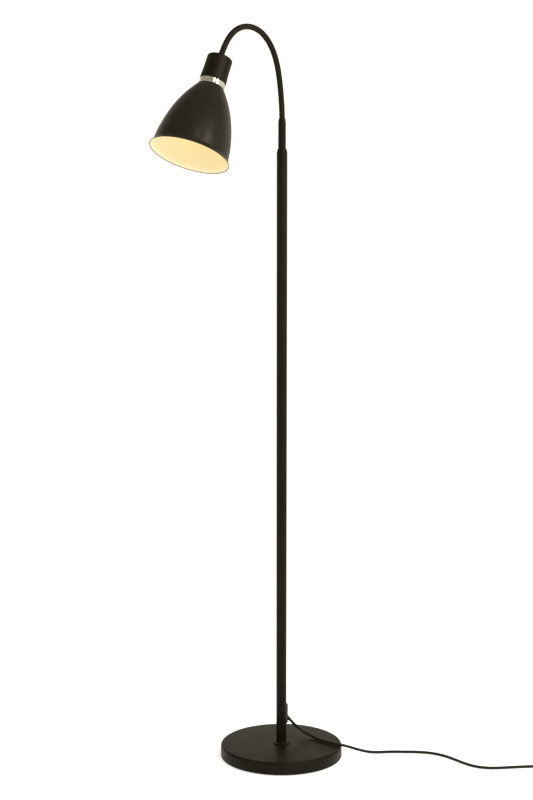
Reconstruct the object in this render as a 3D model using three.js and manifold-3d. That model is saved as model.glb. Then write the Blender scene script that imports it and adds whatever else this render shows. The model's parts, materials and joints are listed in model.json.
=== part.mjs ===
// A floor lamp with a flexible arm: a weighted round base, a slim pole, a gooseneck made of short
// links that pivot on one another, and a bell-shaped shade on a lampholder. Sizes are millimetres,
// +Z is up, the origin is on the floor under the pole, and the arm leans towards -Y.
import * as THREE from "three";
import { mergeVertices } from "three/addons/utils/BufferGeometryUtils.js";
import Module from "manifold-3d";

const wasm = await Module();
wasm.setup();

// ---- Driving dimensions -------------------------------------------------------------------------

// clearances
const GAP = 0.3; // between pieces that touch
const THREAD_GAP = 0.3; // around a screw or a spigot in its hole
const ROUND = 36; // sides of a large round piece
const SMALL_ROUND = 16; // sides of a small round piece

// base
const BASE_RADIUS = 119;
const BASE_HEIGHT = 26;
const BASE_EDGE_ROUND = 5;
const COVER_WALL = 1.2;
const FELT_THICKNESS = 1.5;
const FELT_INSET = 5; // from the cover's outside to the felt's edge
const WEIGHT_THICKNESS = 11;
const COVER_ABOVE_FELT = 0.5;
const BOLT_HEAD_RECESS = 3; // from the weight's underside up to the bolt's head
const WEIGHT_BOSS_RADIUS = 30;
const BOLT_RADIUS = 5;
const BOLT_HEAD_ACROSS = 17;
const BOLT_HEAD_HEIGHT = 6.4;
const BOLT_REACH = 20; // how far the bolt goes into the pole's bush
const WASHER_RADIUS = 14;
const WASHER_THICKNESS = 2;
const RECESS_RADIUS = 17;
const COLLAR_WIDTH = 6.5; // from the pole's side to the collar's edge
const COLLAR_HEIGHT = 4;
const COLLAR_LIP = 1.2; // height of the collar's outer edge
const COLLAR_FOOT = 1; // from the pole's side out to the foot of the collar's fillet

// pole
const POLE_RADIUS = 10;
const POLE_WALL = 1.5;
const POLE_TOP = 1187.5; // height of the shoulder's top above the floor
const SHOULDER_HEIGHT = 10;
const SHOULDER_TAPER = 8.5; // height over which it slims, in one arc
const SHOULDER_STEP = 2.2; // how much slimmer the shoulder is at its top
const CAP_SPIGOT = 22; // length of the top cap inside the pole
const FOOT_BUSH_HEIGHT = 24;

// cable inside the pole, and the mains cord outside it
const CORD_DIAMETER = 5.4;
const CORD_SIDES = 8;
const CORD_HEIGHT = CORD_DIAMETER / 2 + 0.1; // centre of a cord that lies on the floor

// cord outlet on the back of the pole
const OUTLET_HEIGHT = 78; // where the cord's axis meets the plate's face
const OUTLET_TILT = 40; // degrees the cord leaves below the horizontal
const OUTLET_PLATE_WIDTH = 13;
const OUTLET_PLATE_PROUD = 4;
const OUTLET_PLATE_BELOW = 16; // from the cord's axis down to the plate's end
const OUTLET_PLATE_ABOVE = 27;
const OUTLET_SCREW_INSET = 5; // from each end of the plate
const OUTLET_SCREW_HEAD = 3.2;
const OUTLET_SCREW_SHANK = 1.5;
const OUTLET_SCREW_PROUD = 1.4;
const OUTLET_SCREW_PAST = 1; // how far a screw goes past the pole's wall
const RELIEF_RADIUS = 4.2;
const RELIEF_END_WALL = 0.6;
const RELIEF_LENGTH = 20; // outside the plate
const RELIEF_INSIDE = 10;
const CABLE_BEND = 18; // height over which the cable turns up inside the pole

// gooseneck
const FERRULE_WALL = 1.5;
const FERRULE_EDGE = 0.7; // its wall at the top of the taper
const FERRULE_LENGTH = 56; // above the pole's shoulder
const FERRULE_TAPER = 9;
const FERRULE_SPIGOT = 15; // screwed into the pole's cap
const FERRULE_SPIGOT_WALL = 1.4;
const CABLE_CLEARANCE = 0.6; // around the cable where it enters the neck
const NECK_RADIUS = 5.5;
const NECK_SOCKET_DEPTH = 18; // how deep the neck sits in the ferrule
const NECK_ROOT = 11.5; // from the ferrule's top to the first pivot
const NECK_PITCH = 30; // from pivot to pivot
const NECK_TIP = 17; // from the last pivot to the holder's top
const NECK_BENDS = [6, 3, 6, 12, 17, 18, 19, 18, 22, 21, 10]; // degrees at each pivot
const CUP_CLEARANCE = 0.3; // around the ball of each pivot

// lampholder and shade, along the head's own axis from the holder's top
const HOLDER_CLEARANCE = 1.6; // around the lampholder at the holder's top
const HOLDER_FLARE = 0.9; // how much wider the holder is at its lower end
const HOLDER_LENGTH = 47.5;
const HOLDER_WALL = 1.5;
const HOLDER_EDGE_ROUND = 3.5;
const RING_CLEARANCE = 2; // around the lampholder
const RING_LENGTH = 10;
const RING_WALL = 1.6;
const RING_CHAMFER = 0.5;
const SOCKET_WALL = 5.4; // of the lampholder's threaded body, around its shell
const SOCKET_TOP = 12;
const SOCKET_FLOOR = 33; // the closed end of the bulb's bore
const SOCKET_BELOW_SHADE = 8; // how far the thread comes through the shade
const SOCKET_SHOULDER = 3; // how much slimmer the lampholder's closed end is
const SHELL_WALL = 0.5;
const SHELL_BELOW_FLOOR = 6;
const SHELL_ABOVE_MOUTH = 3;
const CONTACT_HALF = 4; // half of the centre contact's length
const SHADE_LENGTH = 135;
const SHADE_WALL = 0.9;
const SHADE_LIP_RADIUS = 73.5;
const SHADE_LIP_FLARE = 3.6; // how far the lip turns out
const SHADE_LIP_HEIGHT = 6;
const SHADE_RING_WALL = 2;
const SHADE_RING_LENGTH = 5;
const LOCKNUT_RADIUS = 8.5;
const LOCKNUT_HEIGHT = 4;
const NIPPLE_STEP = 0.7; // how much slimmer the threaded nipple is than the neck
const NIPPLE_REACH = 6; // into the lampholder

// bulb
const BULB_CAP_RADIUS = 13.1;
const BULB_CAP_LENGTH = 25;
const BULB_CAP_CLEARANCE = 1.1; // to the screw shell
const BULB_TIP = 4; // length and radius of the cap's contact end
const BULB_NECK_FLARE = 2;
const BULB_NECK_LENGTH = 6;
const BULB_RADIUS = 30;
const BULB_WALL = 1.2;
const BULB_LENGTH = 106; // with its cap

// in-line switch
const SWITCH_CENTRE = [497, 250];
const SWITCH_LENGTH = 58;
const SWITCH_WIDTH = 22;
const SWITCH_BASE_HEIGHT = 7;
const SWITCH_COVER_HEIGHT = 8;
const SWITCH_CORD_HEIGHT = 5;
const SWITCH_END_WALL = 8;
const SWITCH_FLOOR = 2;
const SWITCH_WALL = 2;
const SWITCH_SLOT_GAP = 0.5; // all round the rocker
const ROCKER_LENGTH = 20;
const ROCKER_WIDTH = 11;
const ROCKER_DEPTH = 3; // below its pivot
const ROCKER_CROWN = 3; // above its pivot
const ROCKER_PIVOT_BELOW = 2.5; // from the cover's top down to the pivot
const ROCKER_TILT = 7; // degrees each way from level

// coil of spare cord, and the plug
const COIL_CENTRE = [524, 184];
const COIL_MID_RADIUS = 31;
const COIL_ACROSS = 3; // turns side by side
const COIL_LAYERS = 2;
const COIL_SLACK = 0.6; // around the wound cord
const LEAD_BEND = 26; // radius of the cord's turn between switch and coil
const TAIL_LENGTH = 25; // from the coil to the plug
const TIE_WIDTH = 8;
const TIE_THICKNESS = 1;
const TIE_GAP = 0.6; // beside the curved coil
const PLUG_WIDTH = 30;
const PLUG_THICKNESS = 14;
const PLUG_LENGTH = 38;
const PLUG_NECK_WIDTH = 9;
const PLUG_NECK_LENGTH = 12;
const PLUG_PIN_RADIUS = 2;
const PLUG_PIN_LENGTH = 19;
const PLUG_PIN_EMBEDDED = 12;
const PLUG_PIN_SPACING = 18.6;

// sizes that follow from the ones above, where one piece fits another
const COLLAR_RADIUS = POLE_RADIUS + COLLAR_WIDTH;
const FERRULE_TOP = POLE_TOP + FERRULE_LENGTH;
const OUTLET_PLATE_BOTTOM = OUTLET_HEIGHT - OUTLET_PLATE_BELOW;
const OUTLET_PLATE_TOP = OUTLET_HEIGHT + OUTLET_PLATE_ABOVE;
const RELIEF_END_RADIUS = CORD_DIAMETER / 2 + RELIEF_END_WALL;
const CABLE_BORE = CORD_DIAMETER / 2 + CABLE_CLEARANCE;
const FERRULE_SPIGOT_RADIUS = CABLE_BORE + FERRULE_SPIGOT_WALL;
const FERRULE_RADIUS = NECK_RADIUS + THREAD_GAP + FERRULE_WALL;
const NIPPLE_RADIUS = NECK_RADIUS - NIPPLE_STEP;
const SOCKET_BORE = BULB_CAP_RADIUS + BULB_CAP_CLEARANCE;
const SOCKET_RADIUS = SOCKET_BORE + SHELL_WALL + GAP + SOCKET_WALL;
const HOLDER_TOP_RADIUS = SOCKET_RADIUS + HOLDER_CLEARANCE + HOLDER_WALL;
const HOLDER_RADIUS = HOLDER_TOP_RADIUS + HOLDER_FLARE;
const RING_RADIUS = SOCKET_RADIUS + RING_CLEARANCE + RING_WALL;
const SHADE_NECK_RADIUS = RING_RADIUS;
const SHADE_RING_RADIUS = SOCKET_RADIUS + GAP + SHADE_RING_WALL;

// ---- Materials ----------------------------------------------------------------------------------

const finishes = {
  blackPaint: { color: 0x2b261e, roughness: 0.5, metalness: 0.2 },
  chrome: { color: 0xc4c0b0, roughness: 0.12, metalness: 1 },
  zinc: { color: 0xa8a9a6, roughness: 0.4, metalness: 1 },
  castIron: { color: 0x4a4a4c, roughness: 0.8, metalness: 0.6 },
  brass: { color: 0xb99a4c, roughness: 0.3, metalness: 1 },
  blackPlastic: { color: 0x1d1c1a, roughness: 0.55, metalness: 0 },
  felt: { color: 0x222222, roughness: 1, metalness: 0 },
  cord: { color: 0x1b1916, roughness: 0.6, metalness: 0 },
  opal: { color: 0xfff1d0, roughness: 0.25, metalness: 0 },
};

// ---- Helpers ------------------------------------------------------------------------------------

const degrees = THREE.MathUtils.degToRad;

// A closed mesh as a manifold-3d solid.
function toSolid(geometry) {
  const plain = geometry.index ? geometry.toNonIndexed() : geometry.clone();
  plain.deleteAttribute("normal");
  plain.deleteAttribute("uv");
  const merged = mergeVertices(plain, 1e-4);
  return new wasm.Manifold(
    new wasm.Mesh({
      numProp: 3,
      vertProperties: merged.attributes.position.array,
      triVerts: new Uint32Array(merged.index.array),
    }),
  );
}

// A manifold-3d solid as a three.js geometry.
function toGeometry(solid) {
  const mesh = solid.getMesh();
  const geometry = new THREE.BufferGeometry();
  geometry.setAttribute("position", new THREE.BufferAttribute(mesh.vertProperties, 3));
  geometry.setIndex(new THREE.BufferAttribute(mesh.triVerts, 1));
  const flat = geometry.toNonIndexed();
  flat.computeVertexNormals();
  return flat;
}

// The first geometry with the others cut out of it.
function cut(geometry, ...tools) {
  return toGeometry(tools.reduce((solid, tool) => solid.subtract(toSolid(tool)), toSolid(geometry)));
}

// All geometries joined into one.
function join(...geometries) {
  return toGeometry(geometries.map(toSolid).reduce((all, one) => all.add(one)));
}

// A body turned about Z. The profile runs anticlockwise as [radius, height] pairs; it starts and
// ends on the axis, or it is closed on itself here.
function turned(profile, sides = ROUND) {
  const points = profile.map(([radius, height]) => new THREE.Vector2(radius, height));
  if (profile[0][0] > 0) points.push(points[0].clone());
  return new THREE.LatheGeometry(points, sides).rotateX(Math.PI / 2);
}

// A plain round rod from one height to another.
function rod(radius, bottom, top, sides = SMALL_ROUND) {
  return turned([[0, bottom], [radius, bottom], [radius, top], [0, top]], sides);
}

// A ring of rectangular section.
function ring(inner, outer, bottom, top, sides = ROUND) {
  return turned([[inner, bottom], [outer, bottom], [outer, top], [inner, top]], sides);
}

// Points on an arc, as [radius, height] pairs, from one angle to another in degrees.
function arc(centreRadius, centreHeight, radius, from, to, steps) {
  return Array.from({ length: steps + 1 }, (_, i) => {
    const angle = degrees(from + ((to - from) * i) / steps);
    return [centreRadius + radius * Math.cos(angle), centreHeight + radius * Math.sin(angle)];
  });
}

// A block with rounded corners in plan, standing on a height.
function roundedBlock(width, length, corner, bottom, top) {
  const [w, l] = [width / 2 - corner, length / 2 - corner];
  const outline = new THREE.Shape();
  outline.absarc(w, l, corner, 0, Math.PI / 2);
  outline.absarc(-w, l, corner, Math.PI / 2, Math.PI);
  outline.absarc(-w, -l, corner, Math.PI, 1.5 * Math.PI);
  outline.absarc(w, -l, corner, 1.5 * Math.PI, 2 * Math.PI);
  const settings = { depth: top - bottom, bevelEnabled: false, curveSegments: 4 };
  return new THREE.ExtrudeGeometry(outline, settings).translate(0, 0, bottom);
}

// A cord along a smooth curve through the points.
function cordAlong(points, steps, radius = CORD_DIAMETER / 2) {
  const curve = new THREE.CatmullRomCurve3(points.map((p) => new THREE.Vector3(...p)));
  const section = new THREE.Shape(
    Array.from({ length: CORD_SIDES }, (_, i) => {
      const angle = ((i + 0.5) * 2 * Math.PI) / CORD_SIDES;
      return new THREE.Vector2(radius * Math.cos(angle), radius * Math.sin(angle));
    }),
  );
  return new THREE.ExtrudeGeometry(section, { steps, extrudePath: curve, bevelEnabled: false });
}

const lamp = new THREE.Group();

// Adds a named piece to a group, with a material of its own.
function addPiece(name, geometry, finish, parent = lamp) {
  const mesh = new THREE.Mesh(geometry, new THREE.MeshStandardMaterial(finishes[finish]));
  mesh.name = name;
  parent.add(mesh);
  return mesh;
}

// ---- Base ---------------------------------------------------------------------------------------

const coverBottom = FELT_THICKNESS + COVER_ABOVE_FELT;
const boltHole = BOLT_RADIUS + THREAD_GAP;
const weightBottom = FELT_THICKNESS + GAP;
const weightTop = BASE_HEIGHT - COVER_WALL - GAP;
const washerTop = weightBottom + BOLT_HEAD_RECESS + BOLT_HEAD_HEIGHT + WASHER_THICKNESS;
const collarBottom = BASE_HEIGHT + GAP;
const collarTop = collarBottom + COLLAR_HEIGHT;

function buildBase() {
  addPiece("base_felt", rod(BASE_RADIUS - FELT_INSET, 0, FELT_THICKNESS, ROUND), "felt");

  const inside = BASE_RADIUS - COVER_WALL;
  const roundHeight = BASE_HEIGHT - BASE_EDGE_ROUND;
  const roundRadius = BASE_RADIUS - BASE_EDGE_ROUND;
  const cover = turned([
    [inside, coverBottom],
    [BASE_RADIUS, coverBottom],
    ...arc(roundRadius, roundHeight, BASE_EDGE_ROUND, 0, 90, 3),
    [boltHole, BASE_HEIGHT],
    [boltHole, BASE_HEIGHT - COVER_WALL],
    ...arc(roundRadius, roundHeight, BASE_EDGE_ROUND - COVER_WALL, 90, 0, 2),
  ]);
  addPiece("base_cover", cover, "blackPaint");

  const weightRadius = inside - GAP;
  const weight = turned([
    [RECESS_RADIUS, weightBottom],
    [weightRadius, weightBottom],
    [weightRadius, weightBottom + WEIGHT_THICKNESS],
    [WEIGHT_BOSS_RADIUS, weightBottom + WEIGHT_THICKNESS],
    [WEIGHT_BOSS_RADIUS, weightTop],
    [boltHole, weightTop],
    [boltHole, washerTop + GAP],
    [RECESS_RADIUS, washerTop + GAP],
  ]);
  addPiece("base_weight", weight, "castIron");

  const washerBottom = washerTop - WASHER_THICKNESS;
  addPiece("base_washer", ring(boltHole, WASHER_RADIUS, washerBottom, washerTop, SMALL_ROUND), "zinc");

  const headTop = washerBottom - GAP;
  const headRadius = BOLT_HEAD_ACROSS / 2 / Math.cos(Math.PI / 6);
  const head = rod(headRadius, headTop - BOLT_HEAD_HEIGHT, headTop, 6);
  const shank = rod(BOLT_RADIUS, headTop - 1, collarTop + GAP + BOLT_REACH);
  addPiece("base_bolt", join(head, shank), "zinc");

  const filletRadius = COLLAR_HEIGHT - COLLAR_LIP;
  const collar = turned([
    [boltHole, collarBottom],
    [COLLAR_RADIUS, collarBottom],
    [COLLAR_RADIUS, collarBottom + COLLAR_LIP],
    ...arc(POLE_RADIUS + COLLAR_FOOT + filletRadius, collarTop, filletRadius, 270, 180, 3),
    [boltHole, collarTop],
  ]);
  addPiece("base_collar", collar, "blackPaint");
}

// ---- Pole ---------------------------------------------------------------------------------------

const poleBottom = collarTop + GAP;
const poleBore = POLE_RADIUS - POLE_WALL;
const tubeTop = POLE_TOP - SHOULDER_HEIGHT;
const outletFace = POLE_RADIUS + OUTLET_PLATE_PROUD;
const reliefTurn = Math.PI / 2 + degrees(OUTLET_TILT);
const outletScrewHeights = [
  OUTLET_PLATE_BOTTOM + OUTLET_SCREW_INSET,
  OUTLET_PLATE_TOP - OUTLET_SCREW_INSET,
];

// A body made along +Z, turned so that it points out of the outlet, along the cord's axis.
function atOutlet(geometry) {
  return geometry.rotateX(-reliefTurn).translate(0, outletFace, OUTLET_HEIGHT);
}

// A body made along +Z, turned to point straight out of the back of the pole.
function atBack(geometry, height) {
  return geometry.rotateX(-Math.PI / 2).translate(0, outletFace, height);
}

function buildPole() {
  const screwEnd = -OUTLET_PLATE_PROUD - POLE_WALL - OUTLET_SCREW_PAST;
  const reliefHole = atOutlet(rod(RELIEF_RADIUS + GAP, -RELIEF_LENGTH, RELIEF_LENGTH));
  const screwHoles = outletScrewHeights.map((height) =>
    atBack(rod(OUTLET_SCREW_SHANK + THREAD_GAP, screwEnd - 2, 3, 10), height),
  );
  const tube = ring(poleBore, POLE_RADIUS, poleBottom, tubeTop, 32);
  addPiece("pole_tube", cut(tube, reliefHole, ...screwHoles), "blackPaint");

  const spigot = poleBore - THREAD_GAP;
  const bush = ring(boltHole, spigot, poleBottom, poleBottom + FOOT_BUSH_HEIGHT, SMALL_ROUND);
  addPiece("pole_foot_bush", bush, "zinc");

  const capHole = FERRULE_SPIGOT_RADIUS + THREAD_GAP;
  const shoulderRadius = (SHOULDER_STEP ** 2 + SHOULDER_TAPER ** 2) / (2 * SHOULDER_STEP);
  const shoulderTurn = (Math.asin(SHOULDER_TAPER / shoulderRadius) * 180) / Math.PI;
  const cap = turned(
    [
      [capHole, tubeTop - CAP_SPIGOT],
      [spigot, tubeTop - CAP_SPIGOT],
      [spigot, tubeTop + GAP],
      [POLE_RADIUS, tubeTop + GAP],
      ...arc(POLE_RADIUS - shoulderRadius, POLE_TOP - SHOULDER_TAPER, shoulderRadius, 0, shoulderTurn, 4),
      [capHole, POLE_TOP],
    ],
    32,
  );
  addPiece("pole_top_cap", cap, "blackPaint");

  const plateBlock = new THREE.BoxGeometry(
    OUTLET_PLATE_WIDTH,
    outletFace,
    OUTLET_PLATE_TOP - OUTLET_PLATE_BOTTOM,
  ).translate(0, outletFace / 2, (OUTLET_PLATE_TOP + OUTLET_PLATE_BOTTOM) / 2);
  const around = rod(POLE_RADIUS + GAP, OUTLET_PLATE_BOTTOM - 5, OUTLET_PLATE_TOP + 5, 64);
  addPiece("outlet_plate", cut(plateBlock, around, reliefHole, ...screwHoles), "blackPlastic");

  outletScrewHeights.forEach((height, i) => {
    const screw = turned(
      [
        [0, screwEnd],
        [OUTLET_SCREW_SHANK, screwEnd],
        [OUTLET_SCREW_SHANK, GAP],
        [OUTLET_SCREW_HEAD, GAP],
        [OUTLET_SCREW_HEAD * 0.8, OUTLET_SCREW_PROUD],
        [0, OUTLET_SCREW_PROUD],
      ],
      12,
    );
    addPiece("outlet_screw_" + ["lower", "upper"][i], atBack(screw, height), "zinc");
  });

  const relief = turned(
    [
      [0, -RELIEF_INSIDE],
      [RELIEF_RADIUS, -RELIEF_INSIDE],
      [RELIEF_RADIUS, 4],
      [RELIEF_END_RADIUS, RELIEF_LENGTH],
      [0, RELIEF_LENGTH],
    ],
    16,
  );
  addPiece("outlet_strain_relief", atOutlet(relief), "blackPlastic");
}

// A point on the outlet's axis, this far outside the plate's face (or inside it, when negative).
function outletPoint(distance) {
  const tilt = degrees(OUTLET_TILT);
  return [0, outletFace + distance * Math.cos(tilt), OUTLET_HEIGHT - distance * Math.sin(tilt)];
}

function buildPoleCable() {
  const start = outletPoint(-RELIEF_INSIDE - GAP);
  const straightFrom = start[2] + CABLE_BEND;
  const route = [
    start,
    outletPoint(-RELIEF_INSIDE - GAP - 2),
    [0, start[1] * 0.3, start[2] + CABLE_BEND * 0.45],
    [0, start[1] * 0.04, start[2] + CABLE_BEND * 0.75],
    [0, 0, straightFrom],
  ];
  const upper = rod(CORD_DIAMETER / 2, straightFrom - 1, FERRULE_TOP - NECK_SOCKET_DEPTH - 2, CORD_SIDES);
  addPiece("pole_cable", join(cordAlong(route, 8), upper), "cord");
}

// ---- Gooseneck ----------------------------------------------------------------------------------

const cupRadius = NECK_RADIUS + CUP_CLEARANCE;
const cupEdge = Math.sqrt(cupRadius ** 2 - NECK_RADIUS ** 2);

// The round upper end of a link, whose pivot is at this height.
const domed = (height) => arc(0, height, NECK_RADIUS, 0, 90, 3);

// A link from its hollow lower end, around the pivot at z = 0, to the given profile at its top.
function linkProfile(top) {
  const edge = (Math.asin(cupEdge / cupRadius) * 180) / Math.PI;
  return [...arc(0, 0, cupRadius, 90, edge, 4), ...top];
}

function buildFerrule() {
  const socket = NECK_RADIUS + THREAD_GAP;
  const socketFloor = FERRULE_TOP - NECK_SOCKET_DEPTH;
  const ferrule = turned(
    [
      [CABLE_BORE, POLE_TOP - FERRULE_SPIGOT],
      [FERRULE_SPIGOT_RADIUS, POLE_TOP - FERRULE_SPIGOT],
      [FERRULE_SPIGOT_RADIUS, POLE_TOP + GAP],
      [FERRULE_RADIUS, POLE_TOP + GAP],
      [FERRULE_RADIUS, FERRULE_TOP - FERRULE_TAPER],
      [socket + FERRULE_EDGE, FERRULE_TOP],
      [socket, FERRULE_TOP],
      [socket, socketFloor],
      [CABLE_BORE, socketFloor],
    ],
    24,
  );
  addPiece("neck_ferrule", ferrule, "blackPaint");

  const rootBottom = socketFloor + GAP;
  const pivot = FERRULE_TOP + NECK_ROOT;
  const root = [[0, rootBottom], [NECK_RADIUS, rootBottom], ...domed(pivot)];
  addPiece("neck_root", turned(root, SMALL_ROUND), "blackPaint");
}

// Adds every link, and returns the group at the last pivot, with its +Z along the neck.
function buildNeck() {
  let pivot = new THREE.Group();
  pivot.position.z = FERRULE_TOP + NECK_ROOT;
  lamp.add(pivot);
  NECK_BENDS.forEach((bend, i) => {
    pivot.rotation.x = degrees(bend);
    if (i === NECK_BENDS.length - 1) return;
    const link = turned(linkProfile(domed(NECK_PITCH)), SMALL_ROUND);
    addPiece("neck_link_" + String(i + 1).padStart(2, "0"), link, "blackPaint", pivot);
    const next = new THREE.Group();
    next.position.z = NECK_PITCH;
    pivot.add(next);
    pivot = next;
  });
  return pivot;
}

// ---- Head ---------------------------------------------------------------------------------------

const ringTop = HOLDER_LENGTH + GAP;
const shadeTop = ringTop + RING_LENGTH + GAP;
const socketBottom = shadeTop + SOCKET_BELOW_SHADE;
const socketTopInside = HOLDER_WALL + GAP;
const nutTop = socketTopInside + LOCKNUT_HEIGHT;

// The bell's curve: the share of the way from the neck's radius to the lip's, and of the length.
const SHADE_BELL = [
  [0, 0],
  [0.19, 0.104],
  [0.396, 0.233],
  [0.598, 0.4],
  [0.76, 0.593],
  [0.861, 0.77],
  [0.901, 0.904],
];

// The shade's outside, as [radius, distance from the shade's top].
function shadeOutline() {
  const spread = SHADE_LIP_RADIUS - SHADE_NECK_RADIUS;
  const bell = new THREE.SplineCurve(
    SHADE_BELL.map(
      ([out, down]) => new THREE.Vector2(SHADE_NECK_RADIUS + out * spread, down * SHADE_LENGTH),
    ),
  );
  const points = bell.getPoints(10).map((p) => [p.x, p.y]);
  return [
    ...points,
    [SHADE_LIP_RADIUS - SHADE_LIP_FLARE, SHADE_LENGTH - SHADE_LIP_HEIGHT],
    [SHADE_LIP_RADIUS, SHADE_LENGTH],
  ];
}

function buildShade(head) {
  const outside = shadeOutline();
  const inside = outside.map(([radius, height], i) => {
    const [r0, h0] = outside[Math.max(i - 1, 0)];
    const [r1, h1] = outside[Math.min(i + 1, outside.length - 1)];
    const run = Math.hypot(r1 - r0, h1 - h0);
    return [radius - (SHADE_WALL * (h1 - h0)) / run, height + (SHADE_WALL * (r1 - r0)) / run];
  });
  const neckHole = SOCKET_RADIUS + GAP;
  inside[0] = [SHADE_NECK_RADIUS - SHADE_WALL, SHADE_WALL];
  inside[inside.length - 1][1] = SHADE_LENGTH;
  const profile = [
    [neckHole, 0],
    ...outside,
    ...inside.reverse(),
    [neckHole, SHADE_WALL],
  ].map(([radius, height]) => [radius, height + shadeTop]);
  addPiece("shade", turned(profile), "blackPaint", head);

  const ringBottom = shadeTop + SHADE_WALL + GAP;
  const nut = ring(SOCKET_RADIUS + GAP, SHADE_RING_RADIUS, ringBottom, ringBottom + SHADE_RING_LENGTH, 32);
  addPiece("shade_ring", nut, "blackPlastic", head);
}

function buildHolder(head) {
  const cablePass = NECK_RADIUS + THREAD_GAP;
  const slope = (HOLDER_RADIUS - HOLDER_TOP_RADIUS) / HOLDER_LENGTH;
  const cup = turned([
    [cablePass, 0],
    ...arc(HOLDER_TOP_RADIUS - HOLDER_EDGE_ROUND, HOLDER_EDGE_ROUND, HOLDER_EDGE_ROUND, 270, 360, 3),
    [HOLDER_RADIUS, HOLDER_LENGTH],
    [HOLDER_RADIUS - HOLDER_WALL, HOLDER_LENGTH],
    [HOLDER_TOP_RADIUS + slope * HOLDER_EDGE_ROUND - HOLDER_WALL, HOLDER_EDGE_ROUND],
    [HOLDER_TOP_RADIUS - HOLDER_EDGE_ROUND, HOLDER_WALL],
    [cablePass, HOLDER_WALL],
  ]);
  addPiece("holder_cup", cup, "blackPaint", head);

  const collar = turned([
    [RING_RADIUS - RING_WALL, ringTop],
    [RING_RADIUS - RING_CHAMFER, ringTop],
    [RING_RADIUS, ringTop + RING_CHAMFER],
    [RING_RADIUS, ringTop + RING_LENGTH - RING_CHAMFER],
    [RING_RADIUS - RING_CHAMFER, ringTop + RING_LENGTH],
    [RING_RADIUS - RING_WALL, ringTop + RING_LENGTH],
  ]);
  addPiece("chrome_ring", collar, "chrome", head);

  const nut = rod(LOCKNUT_RADIUS, socketTopInside, nutTop, 6);
  const nutHole = rod(NIPPLE_RADIUS + THREAD_GAP, 0, 2 * nutTop);
  addPiece("holder_locknut", cut(nut, nutHole), "zinc", head);

  const body = turned(
    [
      [NIPPLE_RADIUS + THREAD_GAP, SOCKET_TOP],
      [SOCKET_RADIUS - SOCKET_SHOULDER, SOCKET_TOP],
      [SOCKET_RADIUS, SOCKET_TOP + SOCKET_SHOULDER],
      [SOCKET_RADIUS, socketBottom],
      [SOCKET_BORE + SHELL_WALL + GAP, socketBottom],
      [SOCKET_BORE + SHELL_WALL + GAP, SOCKET_FLOOR],
      [NIPPLE_RADIUS + THREAD_GAP, SOCKET_FLOOR],
    ],
    32,
  );
  addPiece("lampholder_body", body, "blackPlastic", head);

  const shellTop = SOCKET_FLOOR + SHELL_BELOW_FLOOR;
  const shellEnd = socketBottom - SHELL_ABOVE_MOUTH;
  const shell = ring(SOCKET_BORE, SOCKET_BORE + SHELL_WALL, shellTop, shellEnd, 24);
  addPiece("lampholder_shell", shell, "brass", head);

  const contact = turned(
    [
      [0, SOCKET_FLOOR - CONTACT_HALF],
      [NIPPLE_RADIUS - 1, SOCKET_FLOOR - CONTACT_HALF],
      [NIPPLE_RADIUS - 1, SOCKET_FLOOR + CONTACT_HALF / 2],
      [NIPPLE_RADIUS / 2, SOCKET_FLOOR + CONTACT_HALF],
      [0, SOCKET_FLOOR + CONTACT_HALF],
    ],
    12,
  );
  addPiece("lampholder_contact", contact, "brass", head);
}

function buildNeckTip(head) {
  const tip = linkProfile([
    [NECK_RADIUS, NECK_TIP + socketTopInside - GAP],
    [NIPPLE_RADIUS, NECK_TIP + socketTopInside - GAP],
    [NIPPLE_RADIUS, NECK_TIP + SOCKET_TOP + NIPPLE_REACH],
    [0, NECK_TIP + SOCKET_TOP + NIPPLE_REACH],
  ]);
  addPiece("neck_tip", turned(tip, SMALL_ROUND).translate(0, 0, -NECK_TIP), "blackPaint", head);
}

function buildBulb(head) {
  const capTop = SOCKET_FLOOR + CONTACT_HALF + GAP;
  const thread = capTop + BULB_TIP;
  const cap = turned(
    [
      [0, capTop],
      [BULB_TIP, capTop],
      [BULB_CAP_RADIUS - 2, thread],
      [BULB_CAP_RADIUS, thread + 2],
      [BULB_CAP_RADIUS, capTop + BULB_CAP_LENGTH],
      [0, capTop + BULB_CAP_LENGTH],
    ],
    24,
  );
  addPiece("bulb_cap", cap, "zinc", head);

  const glassTop = capTop + BULB_CAP_LENGTH + GAP;
  const centre = capTop + BULB_LENGTH - BULB_RADIUS;
  const inner = BULB_RADIUS - BULB_WALL;
  const neckRadius = BULB_CAP_RADIUS + BULB_NECK_FLARE;
  const glass = turned(
    [
      [BULB_CAP_RADIUS - BULB_WALL, glassTop],
      [BULB_CAP_RADIUS, glassTop],
      [neckRadius, glassTop + BULB_NECK_LENGTH],
      ...arc(0, centre, BULB_RADIUS, -40, 90, 7),
      ...arc(0, centre, inner, 90, -40, 7),
      [neckRadius - BULB_WALL, glassTop + BULB_NECK_LENGTH],
    ],
    24,
  );
  addPiece("bulb_glass", glass, "opal", head);
}

function buildHead(lastPivot) {
  const head = new THREE.Group();
  head.position.z = NECK_TIP;
  lastPivot.add(head);
  buildNeckTip(head);
  buildHolder(head);
  buildShade(head);
  buildBulb(head);
}

// ---- Mains cord, switch, coil and plug ------------------------------------------------------------

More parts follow.
